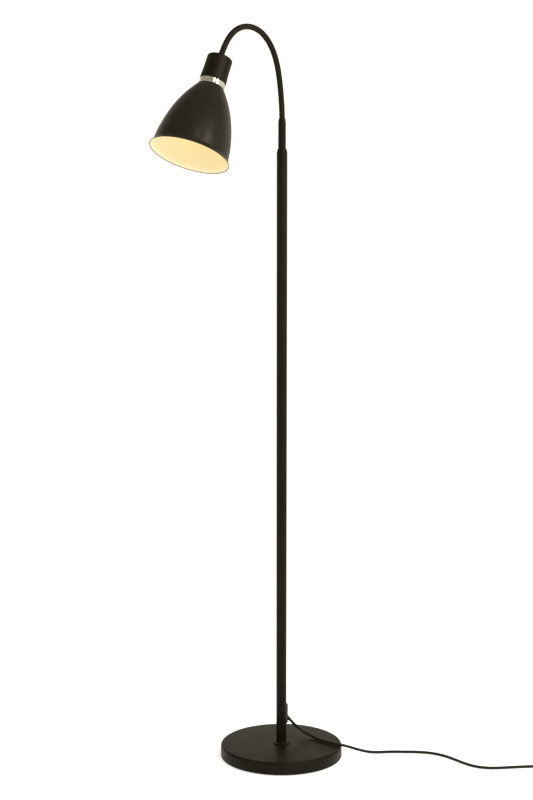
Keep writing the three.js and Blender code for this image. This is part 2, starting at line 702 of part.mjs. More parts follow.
// The cord's route from the outlet, over the base's edge and across the floor.
const CORD_ROUTE = [
  [1, 37, 57.5],
  [3, 45, 49.5],
  [9, 53, 40.5],
  [21, 58, 33.2],
  [38, 57, 29.6],
  [57, 53, 29.1],
  [78, 50, 29.1],
  [96, 50, 29.2],
  [110, 57, 27],
  [119, 71, 20.5],
  [127, 88, 12.5],
  [136, 105, 6],
  [148, 121, 3],
  [165, 137, CORD_HEIGHT],
  [187, 153, CORD_HEIGHT],
  [211, 169, CORD_HEIGHT],
  [238, 180, CORD_HEIGHT],
  [266, 181, CORD_HEIGHT],
  [294, 175, CORD_HEIGHT],
  [320, 168, CORD_HEIGHT],
  [346, 166, CORD_HEIGHT],
  [370, 174, CORD_HEIGHT],
  [391, 191, CORD_HEIGHT],
  [412, 212, CORD_HEIGHT],
  [434, 232, CORD_HEIGHT],
  [452, 245, 3.6],
];

const coilHalfWidth = (COIL_ACROSS * CORD_DIAMETER) / 2 + COIL_SLACK;
const coilInner = COIL_MID_RADIUS - coilHalfWidth;
const coilOuter = COIL_MID_RADIUS + coilHalfWidth;
const coilBottom = TIE_THICKNESS + GAP;
const coilTop = coilBottom + COIL_LAYERS * CORD_DIAMETER + COIL_SLACK;

// The cord meets the coil's outer turn, and leaves it, in a straight line along Y.
const tangentX = COIL_CENTRE[0] + coilOuter - COIL_SLACK - CORD_DIAMETER / 2;
const tangentRun = Math.sqrt(coilOuter ** 2 - (tangentX - COIL_CENTRE[0] - CORD_DIAMETER / 2) ** 2) + GAP;

function buildCordRuns() {
  const [switchX, switchY] = SWITCH_CENTRE;
  const switchEnd = SWITCH_LENGTH / 2 + GAP;
  const run = [
    outletPoint(RELIEF_LENGTH + GAP),
    outletPoint(RELIEF_LENGTH + 5),
    ...CORD_ROUTE,
    [switchX - switchEnd, switchY, SWITCH_CORD_HEIGHT],
  ];
  addPiece("cord_run", cordAlong(run, 56), "cord");

  const turnX = tangentX - LEAD_BEND;
  const turnY = switchY - LEAD_BEND;
  const lead = [
    [switchX + switchEnd, switchY, SWITCH_CORD_HEIGHT],
    [turnX, switchY, SWITCH_CORD_HEIGHT],
    ...[60, 30].map((angle) => [
      turnX + LEAD_BEND * Math.cos(degrees(angle)),
      turnY + LEAD_BEND * Math.sin(degrees(angle)),
      coilBottom + CORD_HEIGHT,
    ]),
    [tangentX, COIL_CENTRE[1] + tangentRun, coilBottom + CORD_HEIGHT],
  ];
  addPiece("cord_lead", cordAlong(lead, 8), "cord");

  const tail = [
    [tangentX, COIL_CENTRE[1] - tangentRun, coilTop - CORD_HEIGHT],
    [tangentX, COIL_CENTRE[1] - tangentRun - TAIL_LENGTH + GAP, PLUG_THICKNESS / 2],
  ];
  addPiece("cord_tail", cordAlong(tail, 1), "cord");
}

function buildSwitch() {
  const corner = SWITCH_WIDTH / 2 - 1;
  const coverBottom = SWITCH_BASE_HEIGHT + GAP;
  const coverTop = coverBottom + SWITCH_COVER_HEIGHT;
  const wellWidth = ROCKER_WIDTH + 2 * SWITCH_SLOT_GAP;
  const passage = rod(CORD_DIAMETER / 2 + GAP, -SWITCH_LENGTH, SWITCH_LENGTH, CORD_SIDES)
    .rotateY(Math.PI / 2)
    .translate(0, 0, SWITCH_CORD_HEIGHT);
  const chamber = new THREE.BoxGeometry(
    SWITCH_LENGTH - 2 * SWITCH_END_WALL,
    wellWidth,
    coverTop - SWITCH_FLOOR - SWITCH_WALL,
  ).translate(0, 0, (coverTop + SWITCH_FLOOR - SWITCH_WALL) / 2);
  const slot = new THREE.BoxGeometry(ROCKER_LENGTH + 2 * SWITCH_SLOT_GAP, wellWidth, 2 * coverTop);
  const base = cut(
    roundedBlock(SWITCH_LENGTH, SWITCH_WIDTH, corner, 0, SWITCH_BASE_HEIGHT),
    passage,
    chamber,
  );
  const cover = cut(
    roundedBlock(SWITCH_LENGTH, SWITCH_WIDTH, corner, coverBottom, coverTop),
    passage,
    chamber,
    slot,
  );
  const at = [...SWITCH_CENTRE, 0];
  addPiece("switch_base", base, "blackPlastic").position.set(...at);
  addPiece("switch_cover", cover, "blackPlastic").position.set(...at);

  // The rocker's top is two slopes that meet over its pivot.
  const half = ROCKER_LENGTH / 2;
  const rise = Math.tan(degrees(ROCKER_TILT)) * half;
  const outline = new THREE.Shape();
  outline.moveTo(-half, -ROCKER_DEPTH);
  outline.lineTo(half, -ROCKER_DEPTH);
  outline.lineTo(half, ROCKER_CROWN + rise);
  outline.lineTo(0, ROCKER_CROWN);
  outline.lineTo(-half, ROCKER_CROWN + rise);
  outline.closePath();
  const rocker = new THREE.ExtrudeGeometry(outline, { depth: ROCKER_WIDTH, bevelEnabled: false })
    .translate(0, 0, -ROCKER_WIDTH / 2)
    .rotateX(Math.PI / 2);
  const mesh = addPiece("switch_rocker", rocker, "blackPlastic");
  mesh.position.set(...SWITCH_CENTRE, coverTop - ROCKER_PIVOT_BELOW);
  mesh.rotation.y = degrees(ROCKER_TILT);
}

function buildCoil() {
  const coil = ring(coilInner, coilOuter, coilBottom, coilTop, 36);
  addPiece("cord_coil", coil, "cord").position.set(...COIL_CENTRE, 0);

  const across = 2 * (coilHalfWidth + TIE_GAP);
  const height = coilTop + GAP;
  const band = new THREE.BoxGeometry(across + 2 * TIE_THICKNESS, TIE_WIDTH, height + TIE_THICKNESS);
  const hollow = new THREE.BoxGeometry(across, 2 * TIE_WIDTH, height - TIE_THICKNESS);
  band.translate(0, 0, (height + TIE_THICKNESS) / 2);
  hollow.translate(0, 0, (height + TIE_THICKNESS) / 2);
  const tie = addPiece("coil_tie", cut(band, hollow), "blackPlastic");
  tie.position.set(COIL_CENTRE[0] - COIL_MID_RADIUS, COIL_CENTRE[1], 0);
}

function buildPlug() {
  const plug = new THREE.Group();
  plug.position.set(tangentX, COIL_CENTRE[1] - tangentRun - TAIL_LENGTH, 0);
  lamp.add(plug);

  const [half, neck] = [PLUG_WIDTH / 2, PLUG_NECK_WIDTH / 2];
  const outline = new THREE.Shape();
  outline.moveTo(neck, 0);
  outline.lineTo(-neck, 0);
  outline.lineTo(-neck - 1, -PLUG_NECK_LENGTH);
  outline.quadraticCurveTo(-half, -PLUG_NECK_LENGTH, -half, -PLUG_NECK_LENGTH - half + neck);
  outline.lineTo(-half, -PLUG_LENGTH);
  outline.lineTo(half, -PLUG_LENGTH);
  outline.lineTo(half, -PLUG_NECK_LENGTH - half + neck);
  outline.quadraticCurveTo(half, -PLUG_NECK_LENGTH, neck + 1, -PLUG_NECK_LENGTH);
  outline.closePath();
  const block = new THREE.ExtrudeGeometry(outline, {
    depth: PLUG_THICKNESS,
    bevelEnabled: false,
    curveSegments: 4,
  });
  const pinRoot = -PLUG_LENGTH + PLUG_PIN_EMBEDDED;
  const pin = (radius, from, to) =>
    rod(radius, from, to, 12).rotateX(Math.PI / 2).translate(0, 0, PLUG_THICKNESS / 2);
  const sides = { left: -PLUG_PIN_SPACING / 2, right: PLUG_PIN_SPACING / 2 };
  const holes = Object.values(sides).map((x) =>
    pin(PLUG_PIN_RADIUS + GAP, -pinRoot - GAP, PLUG_LENGTH + 5).translate(x, 0, 0),
  );
  addPiece("plug_body", cut(block, ...holes), "blackPlastic", plug);
  for (const [side, x] of Object.entries(sides)) {
    const metal = pin(PLUG_PIN_RADIUS, -pinRoot, PLUG_LENGTH + PLUG_PIN_LENGTH);
    addPiece("plug_pin_" + side, metal.translate(x, 0, 0), "zinc", plug);
  }
}

buildBase();
buildPole();
buildPoleCable();
buildFerrule();
buildHead(buildNeck());
buildCordRuns();
buildSwitch();
buildCoil();
buildPlug();

export default lamp;
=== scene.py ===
"""A floor lamp with a gooseneck arm: its surfaces, finishes, cord, light and camera.

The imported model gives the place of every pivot, axis and node. Lengths are metres in the
model's own frame: +Z is up, the origin is on the floor under the pole, and the arm leans
towards -Y.
"""

from __future__ import annotations

import json
import logging
import math
from dataclasses import dataclass, field
from enum import Enum
from typing import Iterable, Sequence

import bmesh
import bpy
from mathutils import Matrix, Vector


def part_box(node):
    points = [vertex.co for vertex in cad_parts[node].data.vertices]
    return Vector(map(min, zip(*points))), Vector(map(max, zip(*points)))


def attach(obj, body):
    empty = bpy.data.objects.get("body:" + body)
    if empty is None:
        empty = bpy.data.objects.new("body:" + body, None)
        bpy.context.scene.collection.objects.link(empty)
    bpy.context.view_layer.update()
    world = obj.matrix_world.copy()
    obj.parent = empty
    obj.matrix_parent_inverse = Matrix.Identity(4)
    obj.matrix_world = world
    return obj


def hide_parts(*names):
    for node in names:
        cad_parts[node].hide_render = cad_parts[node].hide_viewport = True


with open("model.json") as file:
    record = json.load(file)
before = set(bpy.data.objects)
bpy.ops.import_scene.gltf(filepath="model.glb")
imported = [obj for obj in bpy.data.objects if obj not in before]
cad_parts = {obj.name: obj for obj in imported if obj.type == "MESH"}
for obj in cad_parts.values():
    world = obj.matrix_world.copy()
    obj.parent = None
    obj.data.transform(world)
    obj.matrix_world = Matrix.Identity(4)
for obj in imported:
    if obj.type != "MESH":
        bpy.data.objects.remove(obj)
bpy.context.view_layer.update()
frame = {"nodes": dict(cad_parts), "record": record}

MM = 0.001

log = logging.getLogger("lamp")

Profile = list[tuple[float, float]]
Triple = tuple[float, float, float]

PATTERN_LOW, PATTERN_HIGH = 0.3, 0.7  # the stretch of a noise's values that a tint or gloss runs over


# ---- Finishes ---------------------------------------------------------------------------------


class NodeSheet:
    """The node tree of one material, with short calls for the nodes that the finishes share."""

    def __init__(self, name: str) -> None:
        """Starts a material with a Principled shader.

        Args:
            name: The material's name.
        """
        self.material = bpy.data.materials.new(name)
        self.material.use_nodes = True
        self.tree = self.material.node_tree
        self.shader = self.tree.nodes["Principled BSDF"]
        self.place = self.tree.nodes.new("ShaderNodeTexCoord").outputs["Object"]

    def set(self, **values: object) -> None:
        """Sets uniform values on the shader's own sockets.

        Args:
            values: Socket names, with an underscore for each space, and their values.
        """
        for name, value in values.items():
            self.shader.inputs[name.replace("_", " ")].default_value = value

    def link(self, source: bpy.types.NodeSocket, target: bpy.types.NodeSocket) -> None:
        """Joins two sockets."""
        self.tree.links.new(source, target)

    def stretched(self, scale: Triple) -> bpy.types.NodeSocket:
        """Object coordinates stretched along the axes.

        Args:
            scale: The factor along X, Y and Z.

        Returns:
            The stretched coordinates.
        """
        node = self.tree.nodes.new("ShaderNodeMapping")
        node.inputs["Scale"].default_value = scale
        self.link(self.place, node.inputs["Vector"])
        return node.outputs["Vector"]

    def noise(
        self,
        scale: float,
        detail: float = 3.0,
        rough: float = 0.5,
        place: bpy.types.NodeSocket | None = None,
    ) -> bpy.types.NodeSocket:
        """A soft random pattern.

        Args:
            scale: Features per metre.
            detail: How many finer layers it has.
            rough: How strong the finer layers are.
            place: The coordinates, if not the plain object ones.

        Returns:
            The pattern, from 0 to 1.
        """
        node = self.tree.nodes.new("ShaderNodeTexNoise")
        node.inputs["Scale"].default_value = scale
        node.inputs["Detail"].default_value = detail
        node.inputs["Roughness"].default_value = rough
        self.link(place or self.place, node.inputs["Vector"])
        return node.outputs["Fac"]

    def roughen(self, source: bpy.types.NodeSocket, low: float, high: float) -> None:
        """Lets a pattern's middle set the roughness.

        Args:
            source: The pattern.
            low: The roughness where the pattern is low.
            high: The roughness where it is high.
        """
        node = self.tree.nodes.new("ShaderNodeMapRange")
        limits = {"From Min": PATTERN_LOW, "From Max": PATTERN_HIGH, "To Min": low, "To Max": high}
        for name, value in limits.items():
            node.inputs[name].default_value = value
        self.link(source, node.inputs["Value"])
        self.link(node.outputs["Result"], self.shader.inputs["Roughness"])

    def tint(self, source: bpy.types.NodeSocket, dark: Triple, light: Triple) -> None:
        """Lets a pattern's middle run the colour from dark to light.

        Args:
            source: The pattern.
            dark: The colour at its low end, linear RGB.
            light: The colour at its high end, linear RGB.
        """
        node = self.tree.nodes.new("ShaderNodeValToRGB")
        stops = zip(node.color_ramp.elements, (PATTERN_LOW, PATTERN_HIGH), (dark, light))
        for stop, position, colour in stops:
            stop.position = position
            stop.color = (*colour, 1.0)
        self.link(source, node.inputs["Fac"])
        self.link(node.outputs["Color"], self.shader.inputs["Base Color"])

    def bump(self, height: bpy.types.NodeSocket, strength: float, distance: float) -> None:
        """Adds relief to the shader, on top of any that it has.

        Args:
            height: The relief's pattern.
            strength: How much of it shows, from 0 to 1.
            distance: Its depth in metres.
        """
        node = self.tree.nodes.new("ShaderNodeBump")
        node.inputs["Strength"].default_value = strength
        node.inputs["Distance"].default_value = distance
        self.link(height, node.inputs["Height"])
        normal = self.shader.inputs["Normal"]
        if normal.is_linked:
            self.link(normal.links[0].from_socket, node.inputs["Normal"])
        self.link(node.outputs["Normal"], normal)


@dataclass(frozen=True)
class PowderCoat:
    """Baked powder paint: a fine orange-peel skin, with slight cloudiness in its gloss."""

    name: str
    dark: Triple
    light: Triple
    gloss: tuple[float, float] = (0.42, 0.48)
    specular: float = 0.07
    warmth: Triple = (1.0, 0.92, 0.80)

    def make(self) -> bpy.types.Material:
        """Returns the paint."""
        sheet = NodeSheet(self.name)
        sheet.set(Specular_IOR_Level=self.specular, Specular_Tint=(*self.warmth, 1.0))
        cloud = sheet.noise(14.0, 4.0)
        sheet.tint(cloud, self.dark, self.light)
        smudge = sheet.noise(42.0, 5.0, 0.6)
        sheet.roughen(smudge, *self.gloss)
        sheet.bump(sheet.noise(900.0, 2.0), 0.10, 0.00025)
        sheet.bump(sheet.noise(2600.0, 1.0), 0.06, 0.00010)
        return sheet.material


@dataclass(frozen=True)
class PolishedMetal:
    """Plated or bare metal with fine marks from turning or handling."""

    name: str
    dark: Triple
    light: Triple
    gloss: tuple[float, float] = (0.08, 0.16)
    marks: float = 0.05
    grain: Triple = (1.0, 1.0, 1.0)

    def make(self) -> bpy.types.Material:
        """Returns the metal."""
        sheet = NodeSheet(self.name)
        sheet.set(Metallic=1.0)
        cloud = sheet.noise(60.0, 4.0)
        sheet.tint(cloud, self.dark, self.light)
        fine = sheet.noise(700.0, 3.0, 0.6, sheet.stretched(self.grain))
        sheet.roughen(fine, *self.gloss)
        sheet.bump(fine, self.marks, 0.00004)
        return sheet.material


@dataclass(frozen=True)
class MouldedPlastic:
    """Moulded plastic with a spark-eroded grain."""

    name: str
    dark: Triple
    light: Triple
    gloss: tuple[float, float] = (0.42, 0.58)
    grain: float = 1400.0
    relief: float = 0.18
    specular: float = 0.2

    def make(self) -> bpy.types.Material:
        """Returns the plastic."""
        sheet = NodeSheet(self.name)
        sheet.set(Specular_IOR_Level=self.specular)
        cloud = sheet.noise(30.0, 3.0)
        sheet.tint(cloud, self.dark, self.light)
        fine = sheet.noise(self.grain, 2.0)
        sheet.roughen(fine, *self.gloss)
        sheet.bump(fine, self.relief, 0.00012)
        return sheet.material


@dataclass(frozen=True)
class WovenOrPressed:
    """Felt or strap: a fibrous surface with a soft edge to its light."""

    name: str
    dark: Triple
    light: Triple
    fibre: Triple = (1.0, 1.0, 1.0)

    def make(self) -> bpy.types.Material:
        """Returns the fabric."""
        sheet = NodeSheet(self.name)
        sheet.set(Roughness=0.95, Sheen_Weight=0.35, Specular_IOR_Level=0.2)
        fibre = sheet.noise(900.0, 6.0, 0.7, sheet.stretched(self.fibre))
        sheet.tint(fibre, self.dark, self.light)
        sheet.bump(fibre, 0.6, 0.0005)
        return sheet.material


@dataclass(frozen=True)
class CastIron:
    """A rough casting with a dark skin and rubbed high spots."""

    name: str = "cast_iron"

    def make(self) -> bpy.types.Material:
        """Returns the iron."""
        sheet = NodeSheet(self.name)
        sheet.set(Metallic=0.7, Specular_IOR_Level=0.4)
        sand = sheet.noise(450.0, 6.0, 0.7)
        sheet.tint(sand, (0.02, 0.02, 0.022), (0.12, 0.115, 0.11))
        sheet.roughen(sand, 0.6, 0.9)
        sheet.bump(sand, 0.7, 0.0008)
        return sheet.material


@dataclass(frozen=True)
class OpalGlow:
    """A lit bulb: opal glass that glows evenly."""

    name: str = "opal_glass"
    colour: Triple = (1.0, 0.87, 0.47)
    strength: float = 1.04

    def make(self) -> bpy.types.Material:
        """Returns the lit glass."""
        sheet = NodeSheet(self.name)
        sheet.set(Roughness=0.25, Emission_Color=(*self.colour, 1.0), Emission_Strength=self.strength)
        haze = sheet.noise(40.0, 3.0)
        sheet.tint(haze, (0.93, 0.88, 0.76), (0.98, 0.94, 0.84))
        return sheet.material


@dataclass(frozen=True)
class CreamEnamel:
    """The shade's inside: cream paint, a little uneven where it was sprayed."""

    name: str = "cream_enamel"

    def make(self) -> bpy.types.Material:
        """Returns the enamel."""
        sheet = NodeSheet(self.name)
        sheet.set(Specular_IOR_Level=0.35)
        cloud = sheet.noise(26.0, 4.0)
        sheet.tint(cloud, (0.82, 0.73, 0.49), (0.85, 0.77, 0.55))
        skin = sheet.noise(900.0, 3.0)
        sheet.roughen(skin, 0.45, 0.6)
        sheet.bump(skin, 0.12, 0.0002)
        return sheet.material


class Finish(Enum):
    """Every finish on the lamp."""

    BLACK = PowderCoat("black_paint", (0.0056, 0.0046, 0.0025), (0.0080, 0.0067, 0.0040))
    SHADE = PowderCoat("shade_paint", (0.0096, 0.0084, 0.0054), (0.0130, 0.0114, 0.0078), (0.33, 0.40), 0.09)
    NECK = PowderCoat("neck_paint", (0.0070, 0.0060, 0.0038), (0.0096, 0.0084, 0.0056), (0.40, 0.50))
    CREAM = CreamEnamel()
    CHROME = PolishedMetal("chrome", (0.46, 0.45, 0.37), (0.56, 0.55, 0.46), (0.08, 0.14))
    ZINC = PolishedMetal("zinc_steel", (0.42, 0.43, 0.42), (0.62, 0.62, 0.60), (0.28, 0.45), 0.15)
    NICKEL = PolishedMetal("nickel", (0.60, 0.58, 0.53), (0.74, 0.71, 0.66), (0.16, 0.26), 0.08)
    BRASS = PolishedMetal("brass", (0.52, 0.36, 0.12), (0.72, 0.53, 0.22), (0.22, 0.38), 0.1)
    IRON = CastIron()
    PLASTIC = MouldedPlastic("black_plastic", (0.010, 0.0092, 0.0078), (0.016, 0.0148, 0.0125))
    SHEATH = MouldedPlastic(
        "cord_sheath", (0.0085, 0.0058, 0.0032), (0.0150, 0.0105, 0.0062), (0.40, 0.52), 700.0, 0.12, 0.12
    )
    STRAP = WovenOrPressed("tie_strap", (0.008, 0.008, 0.008), (0.035, 0.034, 0.032), (1.0, 4.0, 1.0))
    FELT = WovenOrPressed("felt", (0.010, 0.010, 0.011), (0.05, 0.05, 0.048))
    OPAL = OpalGlow()


class Palette:
    """Makes each finish's material once."""

    def __init__(self) -> None:
        """Starts with nothing made."""
        self._made: dict[Finish, bpy.types.Material] = {}

    def of(self, finish: Finish) -> bpy.types.Material:
        """Returns the material of a finish, made on its first use."""
        if finish not in self._made:
            self._made[finish] = finish.value.make()
        return self._made[finish]


PALETTE = Palette()


# ---- Shapes -----------------------------------------------------------------------------------


def rounded(corners: Sequence[Triple], closed: bool = True, steps: int = 5) -> Profile:
    """An outline whose corners are rounded.

    Args:
        corners: Each corner's two coordinates and its radius, in order. 0 keeps it sharp.
        closed: Whether the outline runs back to its first corner.
        steps: Edges in each rounding.

    Returns:
        The outline's points.
    """
    points: Profile = []
    count = len(corners)
    for i, (x, y, radius) in enumerate(corners):
        inner = closed or 0 < i < count - 1
        if radius <= 0 or not inner:
            points.append((x, y))
            continue
        here = Vector((x, y))
        back = Vector(corners[i - 1][:2]) - here
        on = Vector(corners[(i + 1) % count][:2]) - here
        half = back.angle(on) / 2
        reach = min(radius / math.tan(half), back.length * 0.49, on.length * 0.49)
        radius = reach * math.tan(half)
        start, end = here + back.normalized() * reach, here + on.normalized() * reach
        centre = here + (back.normalized() + on.normalized()).normalized() * radius / math.sin(half)
        a, b = start - centre, end - centre
        turn = a.angle_signed(b)
        for k in range(steps + 1):
            spun = Matrix.Rotation(-turn * k / steps, 2) @ a
            points.append(tuple(centre + spun))
    return points


def arc(x: float, y: float, radius: float, start: float, end: float, steps: int) -> Profile:
    """Points along an arc.

    Args:
        x: The centre's first coordinate.
        y: The centre's second coordinate.
        radius: The arc's radius.
        start: The angle of its first point, in degrees.
        end: The angle of its last point, in degrees.
        steps: Edges along it.

    Returns:
        The arc's points.
    """
    angles = (math.radians(start + (end - start) * k / steps) for k in range(steps + 1))
    return [(x + radius * math.cos(a), y + radius * math.sin(a)) for a in angles]


def oblong(low: Sequence[float], high: Sequence[float], radius: float, steps: int) -> Profile:
    """A rectangle with rounded corners.

    Args:
        low: Its lowest corner.
        high: Its highest corner.
        radius: The radius of each rounding.
        steps: Edges in each rounding.

    Returns:
        Its points, anticlockwise.
    """
    (x0, y0), (x1, y1) = low, high
    return rounded([(x0, y0, radius), (x1, y0, radius), (x1, y1, radius), (x0, y1, radius)], steps=steps)


def smooth_through(knots: Sequence[tuple[float, float]], per_span: int) -> Profile:
    """A smooth line through points, on a Catmull-Rom curve.

    Args:
        knots: The points it passes through.
        per_span: Steps between two of them.

    Returns:
        The line's points.
    """
    ends = [
        Vector(knots[0]) * 2 - Vector(knots[1]),
        *map(Vector, knots),
        Vector(knots[-1]) * 2 - Vector(knots[-2]),
    ]
    line: Profile = []
    for a, b, c, d in zip(ends, ends[1:], ends[2:], ends[3:]):
        for k in range(per_span):
            t = k / per_span
            point = (
                b * 2
                + (c - a) * t
                + (a * 2 - b * 5 + c * 4 - d) * t * t
                + (b * 3 - a - c * 3 + d) * t * t * t
            ) / 2
            line.append(tuple(point))
    line.append(tuple(knots[-1]))
    return line


def finish_mesh(
    bm: bmesh.types.BMesh,
    name: str,
    finishes: Sequence[Finish],
    place: Matrix = Matrix.Identity(4),
    sharp: float = 35.0,
    recalculate: bool = True,
) -> bpy.types.Object:
    """Turns a bmesh into a shown object with its place in its mesh.

    Args:
        bm: The shape. It is freed.
        name: The object's name.
        finishes: The finish of each material index.
        place: Where the shape goes in the model's frame.
        sharp: The angle in degrees past which an edge is drawn sharp.
        recalculate: Whether to point the faces of this closed shape outwards.

    Returns:
        The object.
    """
    bmesh.ops.remove_doubles(bm, verts=bm.verts, dist=1e-7)
    bmesh.ops.dissolve_degenerate(bm, dist=1e-8, edges=bm.edges)
    if recalculate:
        bmesh.ops.recalc_face_normals(bm, faces=bm.faces)
    bmesh.ops.transform(bm, matrix=place, verts=bm.verts)
    for face in bm.faces:
        face.smooth = True
    mesh = bpy.data.meshes.new(name)
    bm.to_mesh(mesh)
    bm.free()
    mesh.set_sharp_from_angle(angle=math.radians(sharp))
    for finish in finishes:
        mesh.materials.append(PALETTE.of(finish))
    piece = bpy.data.objects.new(name, mesh)
    bpy.context.scene.collection.objects.link(piece)
    return piece


def spun(profile: Profile, sides: int, closed: bool) -> bmesh.types.BMesh:
    """A bmesh turned about Z from a profile of (radius, height) points.

    Args:
        profile: The points, in order.
        sides: Steps in the full turn.
        closed: Whether the profile runs back to its first point.

    Returns:
        The turned shape.
    """
    bm = bmesh.new()
    verts = [bm.verts.new((max(radius, 0.0), 0.0, height)) for radius, height in profile]
    pairs = list(zip(verts, verts[1:])) + ([(verts[-1], verts[0])] if closed else [])
    edges = [bm.edges.new(pair) for pair in pairs]
    bmesh.ops.spin(
        bm,
        geom=verts + edges,
        cent=(0, 0, 0),
        axis=(0, 0, 1),
        angle=math.tau,
        steps=sides,
        use_merge=True,
        use_duplicate=False,
    )
    return bm


def turned(
    name: str,
    profile: Profile,
    finish: Finish,
    place: Matrix = Matrix.Identity(4),
    sides: int = 64,
    closed: bool = True,
    sharp: float = 35.0,
) -> bpy.types.Object:
    """A turned solid.

    Args:
        name: The piece's name.
        profile: (radius, height) points, closed on itself, or from axis to axis.
        finish: Its finish.
        place: Where its own axis goes.
        sides: Steps round it.
        closed: Whether the profile runs back to its first point.
        sharp: The angle in degrees past which an edge is drawn sharp.

    Returns:
        The piece.
    """
    return finish_mesh(spun(profile, sides, closed), name, [finish], place, sharp)


def slab(
    name: str,
    outline: Profile,
    bottom: float,
    top: float,
    bevel: float,
    finish: Finish,
    place: Matrix = Matrix.Identity(4),
    segments: int = 4,
) -> bpy.types.Object:
    """An outline given thickness, with its top and bottom edges rounded.

    Args:
        name: The piece's name.
        outline: (x, y) points, anticlockwise.
        bottom: Height of its lower face.
        top: Height of its upper face.
        bevel: Radius of the rounding.
        finish: Its finish.
        place: Where it goes.
        segments: Edges in the rounding.

    Returns:
        The piece.
    """
    bm = bmesh.new()
    face = bm.faces.new([bm.verts.new((x, y, bottom)) for x, y in outline])
    raised = bmesh.ops.extrude_face_region(bm, geom=[face], use_keep_orig=True)
    lifted = [item for item in raised["geom"] if isinstance(item, bmesh.types.BMVert)]
    bmesh.ops.translate(bm, vec=(0, 0, top - bottom), verts=lifted)
    bmesh.ops.recalc_face_normals(bm, faces=bm.faces)
    rims = [e for e in bm.edges if abs(e.verts[0].co.z - e.verts[1].co.z) < 1e-7]
    bmesh.ops.bevel(
        bm,
        geom=rims,
        offset=bevel,
        offset_type="OFFSET",
        affect="EDGES",
        segments=segments,
        profile=0.5,
        material=-1,
    )
    return finish_mesh(bm, name, [finish], place)


def carved(piece: bpy.types.Object, cutters: Iterable[bpy.types.Object]) -> bpy.types.Object:
    """Cuts solids out of a piece and removes them.

    Args:
        piece: The piece to cut.
        cutters: The solids to take away.

    Returns:
        The piece, with its new mesh.
    """
    for cutter in cutters:
        knife = piece.modifiers.new("cut", "BOOLEAN")
        knife.object = cutter
        knife.operation = "DIFFERENCE"
        knife.solver = "EXACT"
        bpy.context.view_layer.update()
        evaluated = piece.evaluated_get(bpy.context.evaluated_depsgraph_get())
        result = bpy.data.meshes.new_from_object(evaluated)
        piece.modifiers.clear()
        piece.data = result
        bpy.data.objects.remove(cutter)
    piece.data.set_sharp_from_angle(angle=math.radians(35.0))
    return piece


def block(name: str, size: Sequence[float], centre: Sequence[float]) -> bpy.types.Object:
    """A plain cutter.

    Args:
        name: Its name.
        size: Its three sides.
        centre: Its centre.

    Returns:
        The cutter.
    """
    bm = bmesh.new()
    bmesh.ops.create_cube(bm, size=1.0)
    bmesh.ops.scale(bm, vec=size, verts=bm.verts)
    bmesh.ops.translate(bm, vec=centre, verts=bm.verts)
    return finish_mesh(bm, name, [])


def box_of(node: str) -> tuple[Vector, Vector]:
    """Returns the lowest and the highest corner of a CAD node's box."""
    low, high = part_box(node)
    return Vector(low), Vector(high)


def heights_of(node: str) -> tuple[float, float]:
    """Returns the bottom and the top of a CAD node."""
    low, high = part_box(node)
    return low[2], high[2]


def centre_of(node: str) -> Vector:
    """Returns the middle of a CAD node's box."""
    low, high = box_of(node)
    return (low + high) / 2


def along(origin: Vector, axis: Vector) -> Matrix:
    """A placement whose Z runs along an axis and whose X stays level.

    Args:
        origin: Where the local origin goes.
        axis: Where the local Z points.

    Returns:
        The placement.
    """
    z = axis.normalized()
    side = Vector((1, 0, 0)) if abs(z.x) < 0.9 else Vector((0, 1, 0))
    y = z.cross(side).normalized()
    x = y.cross(z)
    turn = Matrix((x, y, z)).transposed().to_4x4()
    return Matrix.Translation(origin) @ turn


def dress_node(node: str, finish: Finish) -> None:
    """Gives a CAD node that stays in view its finish.

    Args:
        node: The node's name.
        finish: The finish.
    """
    for material_slot in frame["nodes"][node].material_slots:
        material_slot.material = PALETTE.of(finish)


def stand_in(piece: bpy.types.Object, body: str, slot: str, *nodes: str) -> bpy.types.Object:
    """Lets a piece ride on a body in place of CAD nodes.

    Args:
        piece: The piece.
        body: The body it moves with.
        slot: The record's material slot. Not used.
        nodes: The nodes it stands for.

    Returns:
        The piece.
    """
    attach(piece, body)
    if nodes:
        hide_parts(*nodes)
    log.info("%s rides on %s", piece.name, body)
    return piece


# ---- Stand ------------------------------------------------------------------------------------


